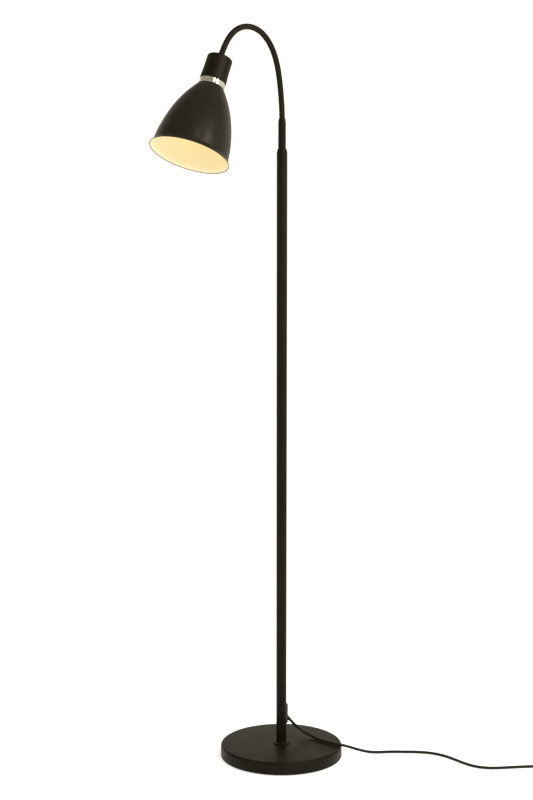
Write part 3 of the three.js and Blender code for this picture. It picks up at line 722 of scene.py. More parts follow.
@dataclass
class Stand:
    """The base with its collar, and the pole."""

    cover_radius: float = 119.0 * MM
    cover_bottom: float = 2.0 * MM
    cover_top: float = 26.0 * MM
    cover_wall: float = 1.2 * MM
    edge_round: float = 5.0 * MM
    bolt_hole: float = 5.3 * MM
    collar_radius: float = 16.5 * MM
    collar_lip: float = 1.4 * MM
    collar_play: float = 0.9 * MM
    pole_radius: float = 10.0 * MM
    pole_bore: float = 8.5 * MM
    shoulder_step: float = 2.2 * MM
    shoulder_taper: float = 8.5 * MM
    cap_bore: float = 5.0 * MM
    spigot_play: float = 0.3 * MM
    seam: float = 0.12 * MM

    def base_cover(self) -> None:
        """The pressed cover, with its rounded edge and a small turned-in foot."""
        wall, r, top = self.cover_wall, self.cover_radius, self.cover_top
        profile = rounded(
            [
                (r - wall, self.cover_bottom, 0.4 * MM),
                (r, self.cover_bottom, 0.5 * MM),
                (r, top, self.edge_round),
                (self.bolt_hole, top, 0),
                (self.bolt_hole, top - wall, 0),
                (r - wall, top - wall, self.edge_round - wall),
            ],
            steps=9,
        )
        piece = turned("base_shell", profile, Finish.BLACK, sides=160)
        stand_in(piece, "stand", "black_paint", "base_cover")

    def collar(self) -> None:
        """The collar at the pole's foot, hollowed up to the pole."""
        low, high = heights_of("base_collar")
        sweep = high - low - self.collar_lip
        centre = self.pole_radius + self.collar_play + sweep
        foot = rounded(
            [
                (self.bolt_hole, low, 0),
                (self.collar_radius, low, 0.3 * MM),
                (self.collar_radius, low + self.collar_lip, 0.6 * MM),
                (centre, low + self.collar_lip, 0),
            ],
            closed=False,
        )
        profile = [*foot[:-1], *arc(centre, high, sweep, 262.0, 180.0, 8), (self.bolt_hole, high)]
        piece = turned("pole_collar", profile, Finish.BLACK, sides=72)
        stand_in(piece, "stand", "black_paint", "base_collar")

    def pole(self) -> None:
        """The pole's tube and the rounded shoulder that closes it."""
        low, high = heights_of("pole_tube")
        cap_bottom, shoulder_top = heights_of("pole_top_cap")
        r, bore = self.pole_radius, self.pole_bore
        tube = [
            (bore, low, 0),
            (r, low, 0.25 * MM),
            (r, high - self.seam, 0.15 * MM),
            (bore, high - self.seam, 0),
        ]
        piece = turned("pole", rounded(tube, steps=3), Finish.BLACK, sides=72)
        stand_in(piece, "stand", "black_paint", "pole_tube")
        step, taper, edge = self.shoulder_step, self.shoulder_taper, 0.15 * MM
        bow = (step**2 + taper**2) / (2 * step)
        turn = math.degrees(math.asin(taper / bow))
        spigot, joint = bore - self.spigot_play, high + self.seam
        cap = [
            (self.cap_bore, cap_bottom),
            (spigot, cap_bottom),
            (spigot, joint),
            (r - edge, joint),
            (r, joint + edge),
            *arc(r - bow, shoulder_top - taper, bow, 0.0, 0.9 * turn, 9),
            (r - step + 0.1 * MM, shoulder_top - 0.25 * MM),
            (r - step - 0.2 * MM, shoulder_top),
            (self.cap_bore, shoulder_top),
        ]
        piece = turned("pole_shoulder", cap, Finish.BLACK, sides=72)
        stand_in(piece, "stand", "black_paint", "pole_top_cap")

    def hidden_fixings(self) -> None:
        """The parts that keep their CAD shape."""
        dress_node("base_felt", Finish.FELT)
        dress_node("base_weight", Finish.IRON)
        for node in ("base_washer", "base_bolt", "pole_foot_bush"):
            dress_node(node, Finish.ZINC)
        dress_node("pole_cable", Finish.SHEATH)

    def build(self) -> None:
        """Builds the stand from the floor up."""
        self.base_cover()
        self.collar()
        self.pole()
        self.hidden_fixings()


@dataclass
class CordOutlet:
    """The plate on the back of the pole that the cord comes out of."""

    width: float = 13.0 * MM
    face: float = 14.0 * MM
    back: float = 7.8 * MM
    end_round: float = 5.0 * MM
    rim_round: float = 1.3 * MM
    tilt: float = math.radians(40.0)
    height: float = 78.0 * MM
    relief_radius: float = 4.2 * MM
    relief_end: float = 3.3 * MM
    relief_length: float = 20.0 * MM
    relief_inside: float = 10.0 * MM
    ribs: int = 5
    screw_head: float = 3.2 * MM
    screw_proud: float = 1.4 * MM
    screw_core: float = 1.5 * MM
    screw_shank: float = 3.0 * MM
    slot: Triple = (0.8 * MM, 1.6 * MM, 7.0 * MM)

    @property
    def axis(self) -> Vector:
        """The way the cord leaves."""
        return Vector((0, math.cos(self.tilt), -math.sin(self.tilt)))

    @property
    def mouth(self) -> Vector:
        """Where the cord's axis meets the plate's face."""
        return Vector((0, self.face, self.height))

    def plate(self) -> None:
        """The plate, with round ends, a softened rim and a hole for the strain relief."""
        bottom, top = heights_of("outlet_plate")
        half = self.width / 2
        outline = oblong((-half, bottom), (half, top), self.end_round, 6)
        upright = Matrix(((1, 0, 0, 0), (0, 0, 1, 0), (0, 1, 0, 0), (0, 0, 0, 1)))
        plate = slab("outlet_cover", outline, self.back, self.face, self.rim_round, Finish.PLASTIC, upright)
        plate.data.flip_normals()
        reach, radius = 9.0 * MM, self.relief_radius + 0.15 * MM
        bore = [(0, -reach), (radius, -reach), (radius, reach), (0, reach)]
        place = along(self.mouth, self.axis)
        hole = turned("hole", bore, Finish.PLASTIC, place, sides=32, closed=False)
        carved(plate, [hole])
        stand_in(plate, "stand", "black_plastic", "outlet_plate")

    def screws(self) -> None:
        """The two pan-head screws with a straight slot."""
        for end in ("lower", "upper"):
            height = centre_of("outlet_screw_" + end).z
            head = rounded(
                [
                    (0, -self.screw_shank, 0),
                    (self.screw_core, -self.screw_shank, 0),
                    (self.screw_core, 0.1 * MM, 0),
                    (self.screw_head, 0.1 * MM, 0.1 * MM),
                    (self.screw_head, self.screw_proud, 0.9 * MM),
                    (0, self.screw_proud, 0),
                ],
                closed=False,
            )
            place = along(Vector((0, self.face, height)), Vector((0, 1, 0)))
            screw = turned("outlet_fixing_" + end, head, Finish.ZINC, place, sides=32, closed=False)
            cutter = block("slot", self.slot, (0, self.face + self.screw_proud, height))
            carved(screw, [cutter])
            stand_in(screw, "stand", "zinc_steel", "outlet_screw_" + end)

    def strain_relief(self) -> None:
        """The tapered sleeve round the cord, with ribs that let it bend."""
        taper = (self.relief_radius - self.relief_end) / self.relief_length
        corners = [(0, -self.relief_inside, 0), (self.relief_radius, -self.relief_inside, 0.3 * MM)]
        corners.append((self.relief_radius, 3 * MM, 0.3 * MM))
        pitch = (self.relief_length - 5 * MM) / self.ribs
        for i in range(self.ribs):
            start = 4 * MM + i * pitch
            outer = self.relief_radius - taper * start
            groove = outer - 0.7 * MM
            corners += [
                (groove, start - 0.6 * MM, 0.2 * MM),
                (groove, start + 0.3 * MM, 0.2 * MM),
                (outer, start + 0.9 * MM, 0.3 * MM),
                (outer - taper * pitch * 0.5, start + pitch - 1.0 * MM, 0.3 * MM),
            ]
        corners += [(self.relief_end, self.relief_length, 0.5 * MM), (0, self.relief_length, 0)]
        profile = rounded(corners, closed=False, steps=3)
        place = along(self.mouth, self.axis)
        sleeve = turned("cord_relief", profile, Finish.PLASTIC, place, sides=36, closed=False)
        stand_in(sleeve, "stand", "black_plastic", "outlet_strain_relief")

    def build(self) -> None:
        """Builds the plate and what it holds."""
        self.plate()
        self.screws()
        self.strain_relief()


# ---- Gooseneck --------------------------------------------------------------------------------


@dataclass
class Gooseneck:
    """The flexible arm: a ferrule, and one length of spiral-wound sleeve for each link."""

    radius: float = 5.5 * MM
    ferrule_radius: float = 7.3 * MM
    ferrule_taper: float = 9.0 * MM
    ferrule_bore: float = 3.3 * MM
    spigot: float = 4.7 * MM
    socket: float = 5.6 * MM
    groove: float = 0.22 * MM
    turns_per_length: int = 17
    rings_per_turn: int = 7
    sides: int = 28
    end_length: float = 7.0 * MM
    core_radius: float = 5.2 * MM
    spare: float = 0.3 * MM
    hinge: Vector = field(default_factory=lambda: Vector((1, 0, 0)))
    bodies: list[str] = field(default_factory=list)
    pivots: list[Vector] = field(default_factory=list)
    ranges: list[list[float]] = field(default_factory=list)

    def __post_init__(self) -> None:
        """Reads the chain of pivots from the frame, from the pole to the head."""
        joints = [j for j in frame["record"]["behaviour"]["joints"] if "switch" not in j["name"]]
        self.bodies = ["stand"] + [j["child"] for j in joints]
        self.pivots = [Vector(j["pos_m"]) for j in joints]
        self.ranges = [j["range_deg"] for j in joints]

    @property
    def head_axis(self) -> Vector:
        """The way the head points, from the last pivot to the shade's mouth."""
        return (centre_of("chrome_ring") - self.pivots[-1]).normalized()

    @property
    def half(self) -> float:
        """Half the distance between two pivots."""
        return (self.pivots[1] - self.pivots[0]).length / 2

    def directions(self) -> list[Vector]:
        """Returns the way the neck runs before each pivot, and after the last one."""
        between = [(b - a).normalized() for a, b in zip(self.pivots, self.pivots[1:])]
        return [Vector((0, 0, 1)), *between, self.head_axis]

    def wound(self, share: float, angle: float) -> float:
        """The sleeve's radius on its winding.

        Args:
            share: How far along its length, from 0 to 1.
            angle: The angle round it.

        Returns:
            The radius there.
        """
        phase = share * self.turns_per_length * math.pi - angle / 2
        return self.radius - self.groove * (1 - abs(math.sin(phase)) ** 0.7)

    def wind(self, start: Vector, before: Vector, bend: float, length: float) -> bmesh.types.BMesh:
        """A length of sleeve with its spiral ridges, bent evenly or straight.

        Args:
            start: The middle of its lower end.
            before: The way it leaves that end.
            bend: The angle it bends through, 0 for a straight length.
            length: Its length if it is straight, or the reach of each half if it bends.

        Returns:
            The closed length.
        """
        hinge = self.hinge
        share_of_pitch = 1.0 if bend else length / (2 * self.half)
        steps = round(self.turns_per_length * self.rings_per_turn * share_of_pitch)
        centre = start + hinge.cross(before) * length / math.tan(bend / 2) if bend else start
        bm = bmesh.new()
        ring = bmesh.ops.create_circle(bm, segments=self.sides, radius=self.radius)
        bmesh.ops.transform(bm, matrix=along(start, before), verts=ring["verts"])
        bmesh.ops.spin(
            bm,
            geom=list(bm.verts) + list(bm.edges),
            cent=centre,
            axis=hinge,
            dvec=Vector() if bend else before * length / steps,
            angle=bend,
            steps=steps,
            use_duplicate=False,
        )
        arm = start - centre
        for vert in bm.verts:
            reach = vert.co - centre
            if bend:
                flat = reach - hinge * reach.dot(hinge)
                share = math.atan2(arm.cross(flat).dot(hinge), arm.dot(flat)) / bend
                turn = Matrix.Rotation(share * bend, 3, hinge)
                line, tangent = centre + turn @ arm, turn @ before
            else:
                share = reach.dot(before) / length
                line, tangent = start + before * reach.dot(before), before
            out = vert.co - line
            side = tangent.cross(hinge)
            radius = self.wound(share * share_of_pitch, math.atan2(out.dot(side), out.dot(hinge)))
            vert.co = line + out.normalized() * radius
        self.close(bm)
        return bm

    @staticmethod
    def close(bm: bmesh.types.BMesh) -> None:
        """Fills a shape's open ends."""
        bmesh.ops.holes_fill(bm, edges=[edge for edge in bm.edges if edge.is_boundary], sides=0)

    def opening(self, number: int) -> float:
        """The room between two lengths, so that they stay apart at the joint's limits.

        Args:
            number: The pivot's place in the chain, from 0.

        Returns:
            The width of the gap on the neck's middle line.
        """
        limit = math.radians(max(abs(angle) for angle in self.ranges[number]))
        return 2 * self.radius * math.tan(limit / 2) + self.spare

    def sleeve(self, lengths: list[bmesh.types.BMesh], number: int, before: Vector, after: Vector) -> None:
        """Winds the neck round one pivot and shares it between the two links that meet there.

        Args:
            lengths: Each body's sleeve so far, which this one adds to.
            number: The pivot's place in the chain, from 0.
            before: The way the neck comes in.
            after: The way it goes on.
        """
        pivot, half, bend = self.pivots[number], self.half, before.angle(after)
        whole = self.wind(pivot - before * half, before, bend, half)
        across = (before + after).normalized()
        for side, length in zip((1, -1), lengths[number : number + 2]):
            part = whole.copy()
            cut = pivot - across * side * self.opening(number) / 2
            everything = [*part.verts, *part.edges, *part.faces]
            bmesh.ops.bisect_plane(
                part, geom=everything, plane_co=cut, plane_no=across * side, clear_outer=True
            )
            self.close(part)
            shared = bpy.data.meshes.new("part")
            part.to_mesh(shared)
            length.from_mesh(shared)
            bpy.data.meshes.remove(shared)
            part.free()
        whole.free()
        inward = half * math.tan(bend / 4)
        middle = Matrix.Translation(pivot + (after - before).normalized() * inward)
        bmesh.ops.create_uvsphere(
            lengths[number], u_segments=28, v_segments=18, radius=self.core_radius, matrix=middle
        )

    def end_sleeve(self) -> None:
        """The last, straight length, which goes into the holder."""
        start = self.pivots[-1] + self.head_axis * self.half
        bm = self.wind(start, self.head_axis, 0.0, self.end_length)
        piece = finish_mesh(bm, "sleeve_end", [Finish.NECK], sharp=60.0)
        stand_in(piece, "head", "black_paint", "neck_tip")

    def ferrule(self) -> None:
        """The plain sleeve that the neck is crimped into, with a tapered end."""
        low, top = heights_of("neck_ferrule")
        seat = heights_of("pole_top_cap")[1] + 0.1 * MM
        profile = rounded(
            [
                (self.ferrule_bore, low, 0),
                (self.spigot, low, 0.4 * MM),
                (self.spigot, seat, 0),
                (self.ferrule_radius, seat, 0.3 * MM),
                (self.ferrule_radius, top - self.ferrule_taper, 7.0 * MM),
                (self.radius + 0.8 * MM, top, 0.3 * MM),
                (self.socket, top, 0),
                (self.socket, top - 12 * MM, 0),
                (self.ferrule_bore, top - 14 * MM, 0),
            ]
        )
        piece = turned("neck_socket", profile, Finish.BLACK, sides=56)
        stand_in(piece, "stand", "black_paint", "neck_ferrule")

    def build(self) -> None:
        """Builds the ferrule and every length of sleeve."""
        self.ferrule()
        ways = self.directions()
        lengths = [bmesh.new() for _ in self.bodies]
        for number, (before, after) in enumerate(zip(ways, ways[1:])):
            self.sleeve(lengths, number, before, after)
        nodes = ["neck_root"] + [f"neck_link_{number:02d}" for number in range(1, len(self.pivots))]
        for number, (length, body) in enumerate(zip(lengths, self.bodies)):
            piece = finish_mesh(length, f"sleeve_{number:02d}", [Finish.NECK], sharp=60.0)
            stand_in(piece, body, "black_paint", *nodes[number : number + 1])
        self.end_sleeve()


# ---- Head -------------------------------------------------------------------------------------


@dataclass
class Head:
    """Holder, bright ring, shade, lampholder and bulb, along one axis from the holder's top."""

    neck: Gooseneck
    tip: float = 17.0 * MM
    holder_top: float = 23.5 * MM
    holder_radius: float = 24.4 * MM
    holder_length: float = 47.5 * MM
    holder_wall: float = 1.5 * MM
    holder_round: float = 2.8 * MM
    neck_hole: float = 5.8 * MM
    ring_radius: float = 24.0 * MM
    ring_wall: float = 1.6 * MM
    ring_crown: float = 0.06 * MM
    ring_length: float = 10.0 * MM
    ring_edge: float = 0.7 * MM
    gap: float = 0.3 * MM
    shade_length: float = 135.0 * MM
    shade_wall: float = 0.9 * MM
    shade_seat: float = 23.2 * MM
    lip_radius: float = 73.5 * MM
    lip_flare: float = 3.6 * MM
    lip_height: float = 6.0 * MM
    bead: float = 0.65 * MM
    socket_radius: float = 20.4 * MM
    socket_below: float = 8.0 * MM
    bulb_radius: float = 30.0 * MM
    bulb_length: float = 106.0 * MM
    bulb_cap_length: float = 25.0 * MM
    bulb_cap_radius: float = 13.1 * MM
    bulb_pitch: float = 3.6 * MM
    socket_floor: float = 33.0 * MM
    socket_top: float = 12.0 * MM
    socket_bore: float = 15.0 * MM
    cable_hole: float = 5.1 * MM
    thread_start: float = 34.0 * MM
    thread_pitch: float = 1.6 * MM
    nut_radius: float = 22.4 * MM
    nut_height: float = 5.0 * MM
    nut_ribs: int = 24
    nut_grip: float = 0.25 * MM
    place: Matrix = field(default_factory=Matrix)

    def __post_init__(self) -> None:
        """Finds the holder's top on the neck's last stretch."""
        axis = self.neck.head_axis
        self.place = along(self.neck.pivots[-1] + axis * self.tip, axis)

    @property
    def ring_top(self) -> float:
        """Where the bright ring starts."""
        return self.holder_length + self.gap

    @property
    def shade_top(self) -> float:
        """Where the shade starts."""
        return self.ring_top + self.ring_length + self.gap

    def holder(self) -> None:
        """The cup over the lampholder: straight, then flared to the ring, with a rounded top."""
        top, r, wall = self.holder_top, self.holder_radius, self.holder_wall
        length, hole, edge = self.holder_length, self.neck_hole, 0.4 * MM
        waist = length * 0.5
        flare = [
            (top + (r - top) * t * t * (3 - 2 * t), length * (0.52 + 0.4 * t))
            for t in (k / 4 for k in range(5))
        ]
        outside = rounded([(hole, 0, 0), (top - 0.3 * MM, 0, self.holder_round), (top, waist, 0)], False, 8)
        profile = [
            *outside,
            *flare,
            (r, length - edge),
            (r - edge, length),
            (r - wall, length),
            (top - wall, waist),
            (top - wall, self.holder_round),
            (top - self.holder_round, wall),
            (hole, wall),
        ]
        piece = turned("holder", profile, Finish.BLACK, self.place, sides=96)
        stand_in(piece, "head", "black_paint", "holder_cup")

    def bright_ring(self) -> None:
        """The polished ring, barely crowned, with softened edges."""
        r, inner = self.ring_radius, self.ring_radius - self.ring_wall
        top, bottom = self.ring_top, self.ring_top + self.ring_length
        rise, steps = self.ring_length - 2 * self.ring_edge, 8
        crown = [
            (r - self.ring_crown * (2 * k / steps - 1) ** 2, top + self.ring_edge + rise * k / steps)
            for k in range(steps + 1)
        ]
        profile = [
            (inner, top),
            (r - 0.6 * MM, top),
            (r - 0.25 * MM, top + 0.2 * MM),
            *crown,
            (r - 0.25 * MM, bottom - 0.2 * MM),
            (r - 0.6 * MM, bottom),
            (inner, bottom),
        ]
        piece = turned("bright_ring", profile, Finish.CHROME, self.place, sides=128, sharp=50.0)
        stand_in(piece, "head", "chrome", "chrome_ring")

    def shade_outline(self) -> Profile:
        """Returns the shade's outside: a flat top, a bell, and a lip that turns out to its bead."""
        spread = self.lip_radius - self.ring_radius
        knots = [
            (self.ring_radius + out * spread, down * self.shade_length)
            for out, down in (
                (0.0, 0.0),
                (0.19, 0.104),
                (0.396, 0.233),
                (0.598, 0.4),
                (0.76, 0.593),
                (0.861, 0.77),
                (0.901, 0.904),
            )
        ]
        knots.append((self.lip_radius - self.lip_flare, self.shade_length - self.lip_height))
        knots.append((self.lip_radius - self.bead / 3, self.shade_length - self.bead * 1.6))
        flat = [(self.socket_radius + self.gap, 0.0), (self.shade_seat, 0.0)]
        return [*flat, *smooth_through(knots, 7)]

    def shade(self) -> None:
        """The shade: black outside and on its rolled bead, cream inside."""
        outside = self.shade_outline()
        wall = self.shade_wall
        inside: Profile = []
        for i, (radius, height) in enumerate(outside):
            before, after = outside[max(i - 1, 0)], outside[min(i + 1, len(outside) - 1)]
            run = Vector(after) - Vector(before)
            step = Vector((-run.y, run.x)).normalized() * wall
            inside.append((radius + step.x, height + step.y))
        inside[0] = (outside[0][0], wall)
        roll = self.bead
        bead = arc(self.lip_radius - roll, self.shade_length - roll, roll, -15.0, 210.0, 9)
        black = [*outside, *bead]
        bm = spun([*black, *reversed(inside)], 144, True)
        for face in bm.faces:
            middle = face.calc_center_median()
            radius, height = math.hypot(middle.x, middle.y), middle.z
            nearest = min(
                (math.hypot(radius - (a[0] + b[0]) / 2, height - (a[1] + b[1]) / 2), side)
                for side, line in enumerate((black, inside))
                for a, b in zip(line, line[1:])
            )
            face.material_index = nearest[1]
        place = self.place @ Matrix.Translation((0, 0, self.shade_top))
        piece = finish_mesh(bm, "bell_shade", [Finish.SHADE, Finish.CREAM], place, sharp=40.0)
        stand_in(piece, "head", "shade_paint", "shade")

    def lampholder(self) -> None:
        """The threaded lampholder that comes through the shade, and the ring nut on it."""
        top, bottom = self.socket_top, self.shade_top + self.socket_below
        r, bore, hole = self.socket_radius, self.socket_bore, self.cable_hole
        thread: Profile = []
        height = self.thread_start
        while height < bottom - 2.5 * MM:
            turn = [(r - 0.5 * MM, 0.0), (r, 0.4), (r, 0.6)]
            thread += [(radius, height + self.thread_pitch * share) for radius, share in turn]
            height += self.thread_pitch
        profile = [
            (hole, top),
            (r - 3.0 * MM, top),
            (r - 0.2 * MM, top + 4.0 * MM),
            (r - 0.2 * MM, self.thread_start - 1.0 * MM),
            *thread,
            (r - 0.6 * MM, bottom - 1.2 * MM),
            (r - 1.2 * MM, bottom),
            (bore + 0.6 * MM, bottom),
            (bore, bottom - 0.6 * MM),
            (bore, self.socket_floor),
            (hole, self.socket_floor),
        ]
        body = turned("lampholder", profile, Finish.PLASTIC, self.place, sides=72, sharp=25.0)
        stand_in(body, "head", "black_plastic", "lampholder_body")

        low = self.shade_top + self.shade_wall + self.gap
        high = low + self.nut_height
        inner, outer, edge = r + 0.2 * MM, self.nut_radius, 0.5 * MM
        nut = [(inner, low), (outer, low), (outer, high - edge), (outer - edge, high), (inner, high)]
        bm = spun(nut, 96, True)
        for vert in bm.verts:
            radius = math.hypot(vert.co.x, vert.co.y)
            if radius > outer - 0.1 * MM:
                wave = math.cos(self.nut_ribs * math.atan2(vert.co.y, vert.co.x))
                vert.co.xy *= 1 - self.nut_grip * (0.5 + 0.5 * wave) / radius
        piece = finish_mesh(bm, "shade_nut", [Finish.PLASTIC], self.place)
        stand_in(piece, "head", "black_plastic", "shade_ring")
        dress_node("lampholder_shell", Finish.BRASS)
        dress_node("lampholder_contact", Finish.BRASS)
        dress_node("holder_locknut", Finish.ZINC)

    def bulb(self) -> None:
        """The bulb: a rolled screw cap with its solder tip, and a pear-shaped opal globe."""
        start = self.socket_floor + 4.0 * MM + self.gap
        neck = start + self.bulb_cap_length
        r, pitch = self.bulb_cap_radius, self.bulb_pitch
        screw: Profile = [
            (0.0, start),
            (4.2 * MM, start),
            (4.8 * MM, start + 1.2 * MM),
            (9.5 * MM, start + 3.2 * MM),
        ]
        height = start + 4.5 * MM
        while height < start + 20.0 * MM:
            for k in range(6):
                bulge = 0.5 - 0.5 * math.cos(math.tau * k / 6)
                screw.append((r - 1.1 * MM + 1.0 * MM * bulge, height + pitch * k / 6))
            height += pitch
        screw += [(r - 0.5 * MM, height), (r, height + 0.5 * MM), (r, neck), (0.0, neck)]
        cap = turned("screw_cap", screw, Finish.NICKEL, self.place, sides=64, closed=False, sharp=50.0)
        stand_in(cap, "head", "nickel", "bulb_cap")

        globe = self.bulb_radius
        centre = start + self.bulb_length - globe
        foot = neck + 0.2 * MM
        shape = smooth_through(
            [
                (r - 0.4 * MM, foot),
                (r + 1.2 * MM, neck + 5.0 * MM),
                (r + 5.5 * MM, neck + 14.0 * MM),
                (globe * 0.86, centre - globe * 0.50),
                (globe, centre),
            ],
            6,
        )
        outline = [(0.0, foot), *shape, *arc(0.0, centre, globe, 7.5, 90.0, 11)]
        glass = turned("bulb", outline, Finish.OPAL, self.place, sides=64, closed=False)
        stand_in(glass, "head", "opal_glass", "bulb_glass")

    def build(self) -> None:
        """Builds the head from its top to the bulb."""
        self.holder()
        self.bright_ring()
        self.shade()
        self.lampholder()
        self.bulb()


# ---- Mains cord -------------------------------------------------------------------------------


@dataclass
class MainsCord:
    """The cord over the base and the floor, its switch, the coil of spare length and the plug."""

    outlet: CordOutlet
    diameter: float = 5.4 * MM
    length: float = 2.0
    lie: float = 2.8 * MM
    coil_radius: float = 31.0 * MM
    coil_across: int = 3
    coil_layers: int = 2
    per_turn: int = 16
    lead_bend: float = 26.0 * MM
    tie_thickness: float = 1.0 * MM
    groove: Triple = (1.0 * MM, 12.0 * MM, 1.2 * MM)
    rib: Triple = (13.9 * MM, 1.0 * MM, 1.6 * MM)
    grip: Triple = (1.6 * MM, 1.1 * MM, 8.0 * MM)
    pin_radius: float = 2.0 * MM
    pin_tip: float = 9.0 * MM

    def floor_route(self) -> list[Vector]:
        """Returns the chosen points from the outlet, over the base's edge, to the switch."""
        low = self.lie / MM
        points = [
            (1, 37, 57.5),
            (3, 45, 49.5),
            (9, 53, 40.5),
            (21, 58, 33.2),
            (38, 57, 29.6),
            (57, 53, 29.1),
            (78, 50, 29.1),
            (96, 50, 29.2),
            (110, 57, 27),
            (119, 71, 20.5),
            (127, 88, 12.5),
            (136, 105, 6),
            (148, 121, 3),
            (165, 137, low),
            (187, 153, low),
            (211, 169, low),
            (238, 180, low),
            (266, 181, low),
            (294, 175, low),
            (320, 168, low),
            (346, 166, low),
            (370, 174, low),
            (391, 191, low),
            (412, 212, low),
            (434, 232, low),
            (452, 245, 3.6),
        ]
        return [Vector(point) * MM for point in points]

    def coil_turns(self) -> list[Vector]:
        """Returns points on the coil: in along the floor layer, then out along the one above."""
        centre = centre_of("cord_coil")
        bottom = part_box("cord_coil")[0][2]
        step = self.diameter
        half = (self.coil_across - 1) / 2 * step
        turns = self.coil_across * self.coil_layers
        inward = self.coil_across
        points = []
        for k in range(turns * self.per_turn + 1):
            turn = k / self.per_turn
            if turn <= inward:
                share = min(turn / (inward - 0.5), 1.0)
                radius = self.coil_radius + half * (1 - 2 * share)
            else:
                share = min((turn - inward) / (inward - 0.5), 1.0)
                radius = self.coil_radius + half * (2 * share - 1)
            climb = min(max((turn - inward + 0.4) / 0.8, 0.0), 1.0)
            height = bottom + step / 2 + 0.05 * MM + step * climb * climb * (3 - 2 * climb)
            angle = -math.tau * turn
            around = Vector((radius * math.cos(angle), radius * math.sin(angle), 0))
            points.append(Vector((centre.x, centre.y, height)) + around)
        return points

    def route(self) -> list[Vector]:
        """Returns every point that the cord passes, from the outlet to the plug."""
        outlet = self.outlet
        switch_low, switch_high = box_of("switch_base")
        switch_y = (switch_low.y + switch_high.y) / 2
        through = 5.0 * MM
        coil = self.coil_turns()
        tangent = coil[0].x
        turn_x, turn_y = tangent - self.lead_bend, switch_y - self.lead_bend
        bend = [Vector((x, y, coil[0].z)) for x, y in arc(turn_x, turn_y, self.lead_bend, 62.0, 0.0, 2)]
        entry = Vector((tangent, box_of("plug_body")[1].y - 4 * MM, centre_of("plug_body").z))
        return [
            outlet.mouth + outlet.axis * (outlet.relief_length - 1 * MM),
            outlet.mouth + outlet.axis * (outlet.relief_length + 5 * MM),
            *self.floor_route(),
            Vector((switch_low.x, switch_y, through)),
            Vector((switch_high.x, switch_y, through)),
            Vector((turn_x, switch_y, through - 0.4 * MM)),
            *bend,
            *coil,
            (coil[-1] + entry) / 2,
            entry,
        ]

    def cord(self) -> None:
        """The whole cord as one curve.
        """
        points = self.route()
        curve = bpy.data.curves.new("mains_cord", "CURVE")
        curve.dimensions = "3D"
        curve.bevel_depth = self.diameter / 2
        curve.bevel_resolution = 4
        curve.resolution_u = 5
        curve.use_fill_caps = True
        spline = curve.splines.new("BEZIER")
        spline.bezier_points.add(len(points) - 1)
        for knot, point in zip(spline.bezier_points, points):
            knot.co = point
            knot.handle_left_type = knot.handle_right_type = "AUTO"
        curve.materials.append(PALETTE.of(Finish.SHEATH))
        piece = bpy.data.objects.new("mains_cord", curve)
        bpy.context.scene.collection.objects.link(piece)
        stand_in(piece, "stand", "cord_sheath", "cord_run", "cord_lead", "cord_tail", "cord_coil")

    def switch(self) -> list[bpy.types.Object]:
        """The in-line switch: two half shells with ribbed ends, and its rocker.

        Returns:
            The shells and the rocker.
        """
        made = []
        for part, edge in (("switch_base", 1.4 * MM), ("switch_cover", 2.4 * MM)):
            low, high = box_of(part)
            corner = (high.y - low.y) / 2 - 1 * MM
            outline = oblong(low.xy, high.xy, corner, 10)
            shell = slab(part + "_shell", outline, low.z, high.z, edge, Finish.PLASTIC)
            if part == "switch_cover":
                rocker_low, rocker_high = box_of("switch_rocker")
                middle = (low + high) / 2
                span = rocker_high.x - rocker_low.x
                window = block("window", (span + 0.6 * MM, 11.8 * MM, 30 * MM), middle)
                grooves = [
                    block("groove", self.groove, (middle.x + side * (14 + 3 * k) * MM, middle.y, high.z))
                    for side in (-1, 1)
                    for k in range(3)
                ]
                carved(shell, [window, *grooves])
            made.append(stand_in(shell, "stand", "black_plastic", part))
        made.append(self.rocker())
        return made

    def rocker(self) -> bpy.types.Object:
        """Returns the rocker: two hollowed slopes with softened edges, tilted to one side."""
        joint = next(j for j in frame["record"]["behaviour"]["joints"] if "rocker" in j["name"])
        pivot = Vector(joint["pos_m"])
        half, width, tilt = 10.0 * MM, 11.0 * MM, math.radians(7.0)
        rise = math.tan(tilt) * half
        top = [(half * (1 - k / 6), 3.0 * MM + rise * (1 - k / 6) ** 1.6) for k in range(7)]
        mirror = [(-x, z) for x, z in reversed(top[:-1])]
        outline = [(-half, -3.0 * MM), (half, -3.0 * MM), *top, *mirror]
        upright = Matrix(((1, 0, 0, 0), (0, 0, -1, 0), (0, 1, 0, 0), (0, 0, 0, 1)))
        place = Matrix.Translation(pivot) @ Matrix.Rotation(tilt, 4, "Y") @ upright
        piece = slab("rocker", outline, -width / 2, width / 2, 0.5 * MM, Finish.PLASTIC, place, 3)
        return stand_in(piece, "rocker", "black_plastic", "switch_rocker")

    def tie(self) -> bpy.types.Object:
        """Returns the strap round the coil."""
        low, high = box_of("coil_tie")
        thick = self.tie_thickness
        middle = (low + high) / 2
        outer = oblong((low.x, low.z), (high.x, high.z), 2.4 * MM, 5)
        bm = bmesh.new()
        for reach in (0.0, thick * 0.8):
            wide = 1 - 2 * reach / (high.x - low.x)
            tall = 1 - 2 * reach / (high.z - low.z)
            ring = [
                bm.verts.new((middle.x + (x - middle.x) * wide, low.y, middle.z + (z - middle.z) * tall))
                for x, z in outer
            ]
            for a, b in zip(ring, ring[1:] + ring[:1]):
                bm.edges.new((a, b))
        bmesh.ops.bridge_loops(bm, edges=bm.edges)
        flat = list(bm.faces)
        raised = bmesh.ops.extrude_face_region(bm, geom=flat, use_keep_orig=True)
        moved = [item for item in raised["geom"] if isinstance(item, bmesh.types.BMVert)]
        bmesh.ops.translate(bm, vec=(0, high.y - low.y, 0), verts=moved)
        piece = finish_mesh(bm, "coil_strap", [Finish.STRAP])
        return stand_in(piece, "stand", "tie_strap", "coil_tie")

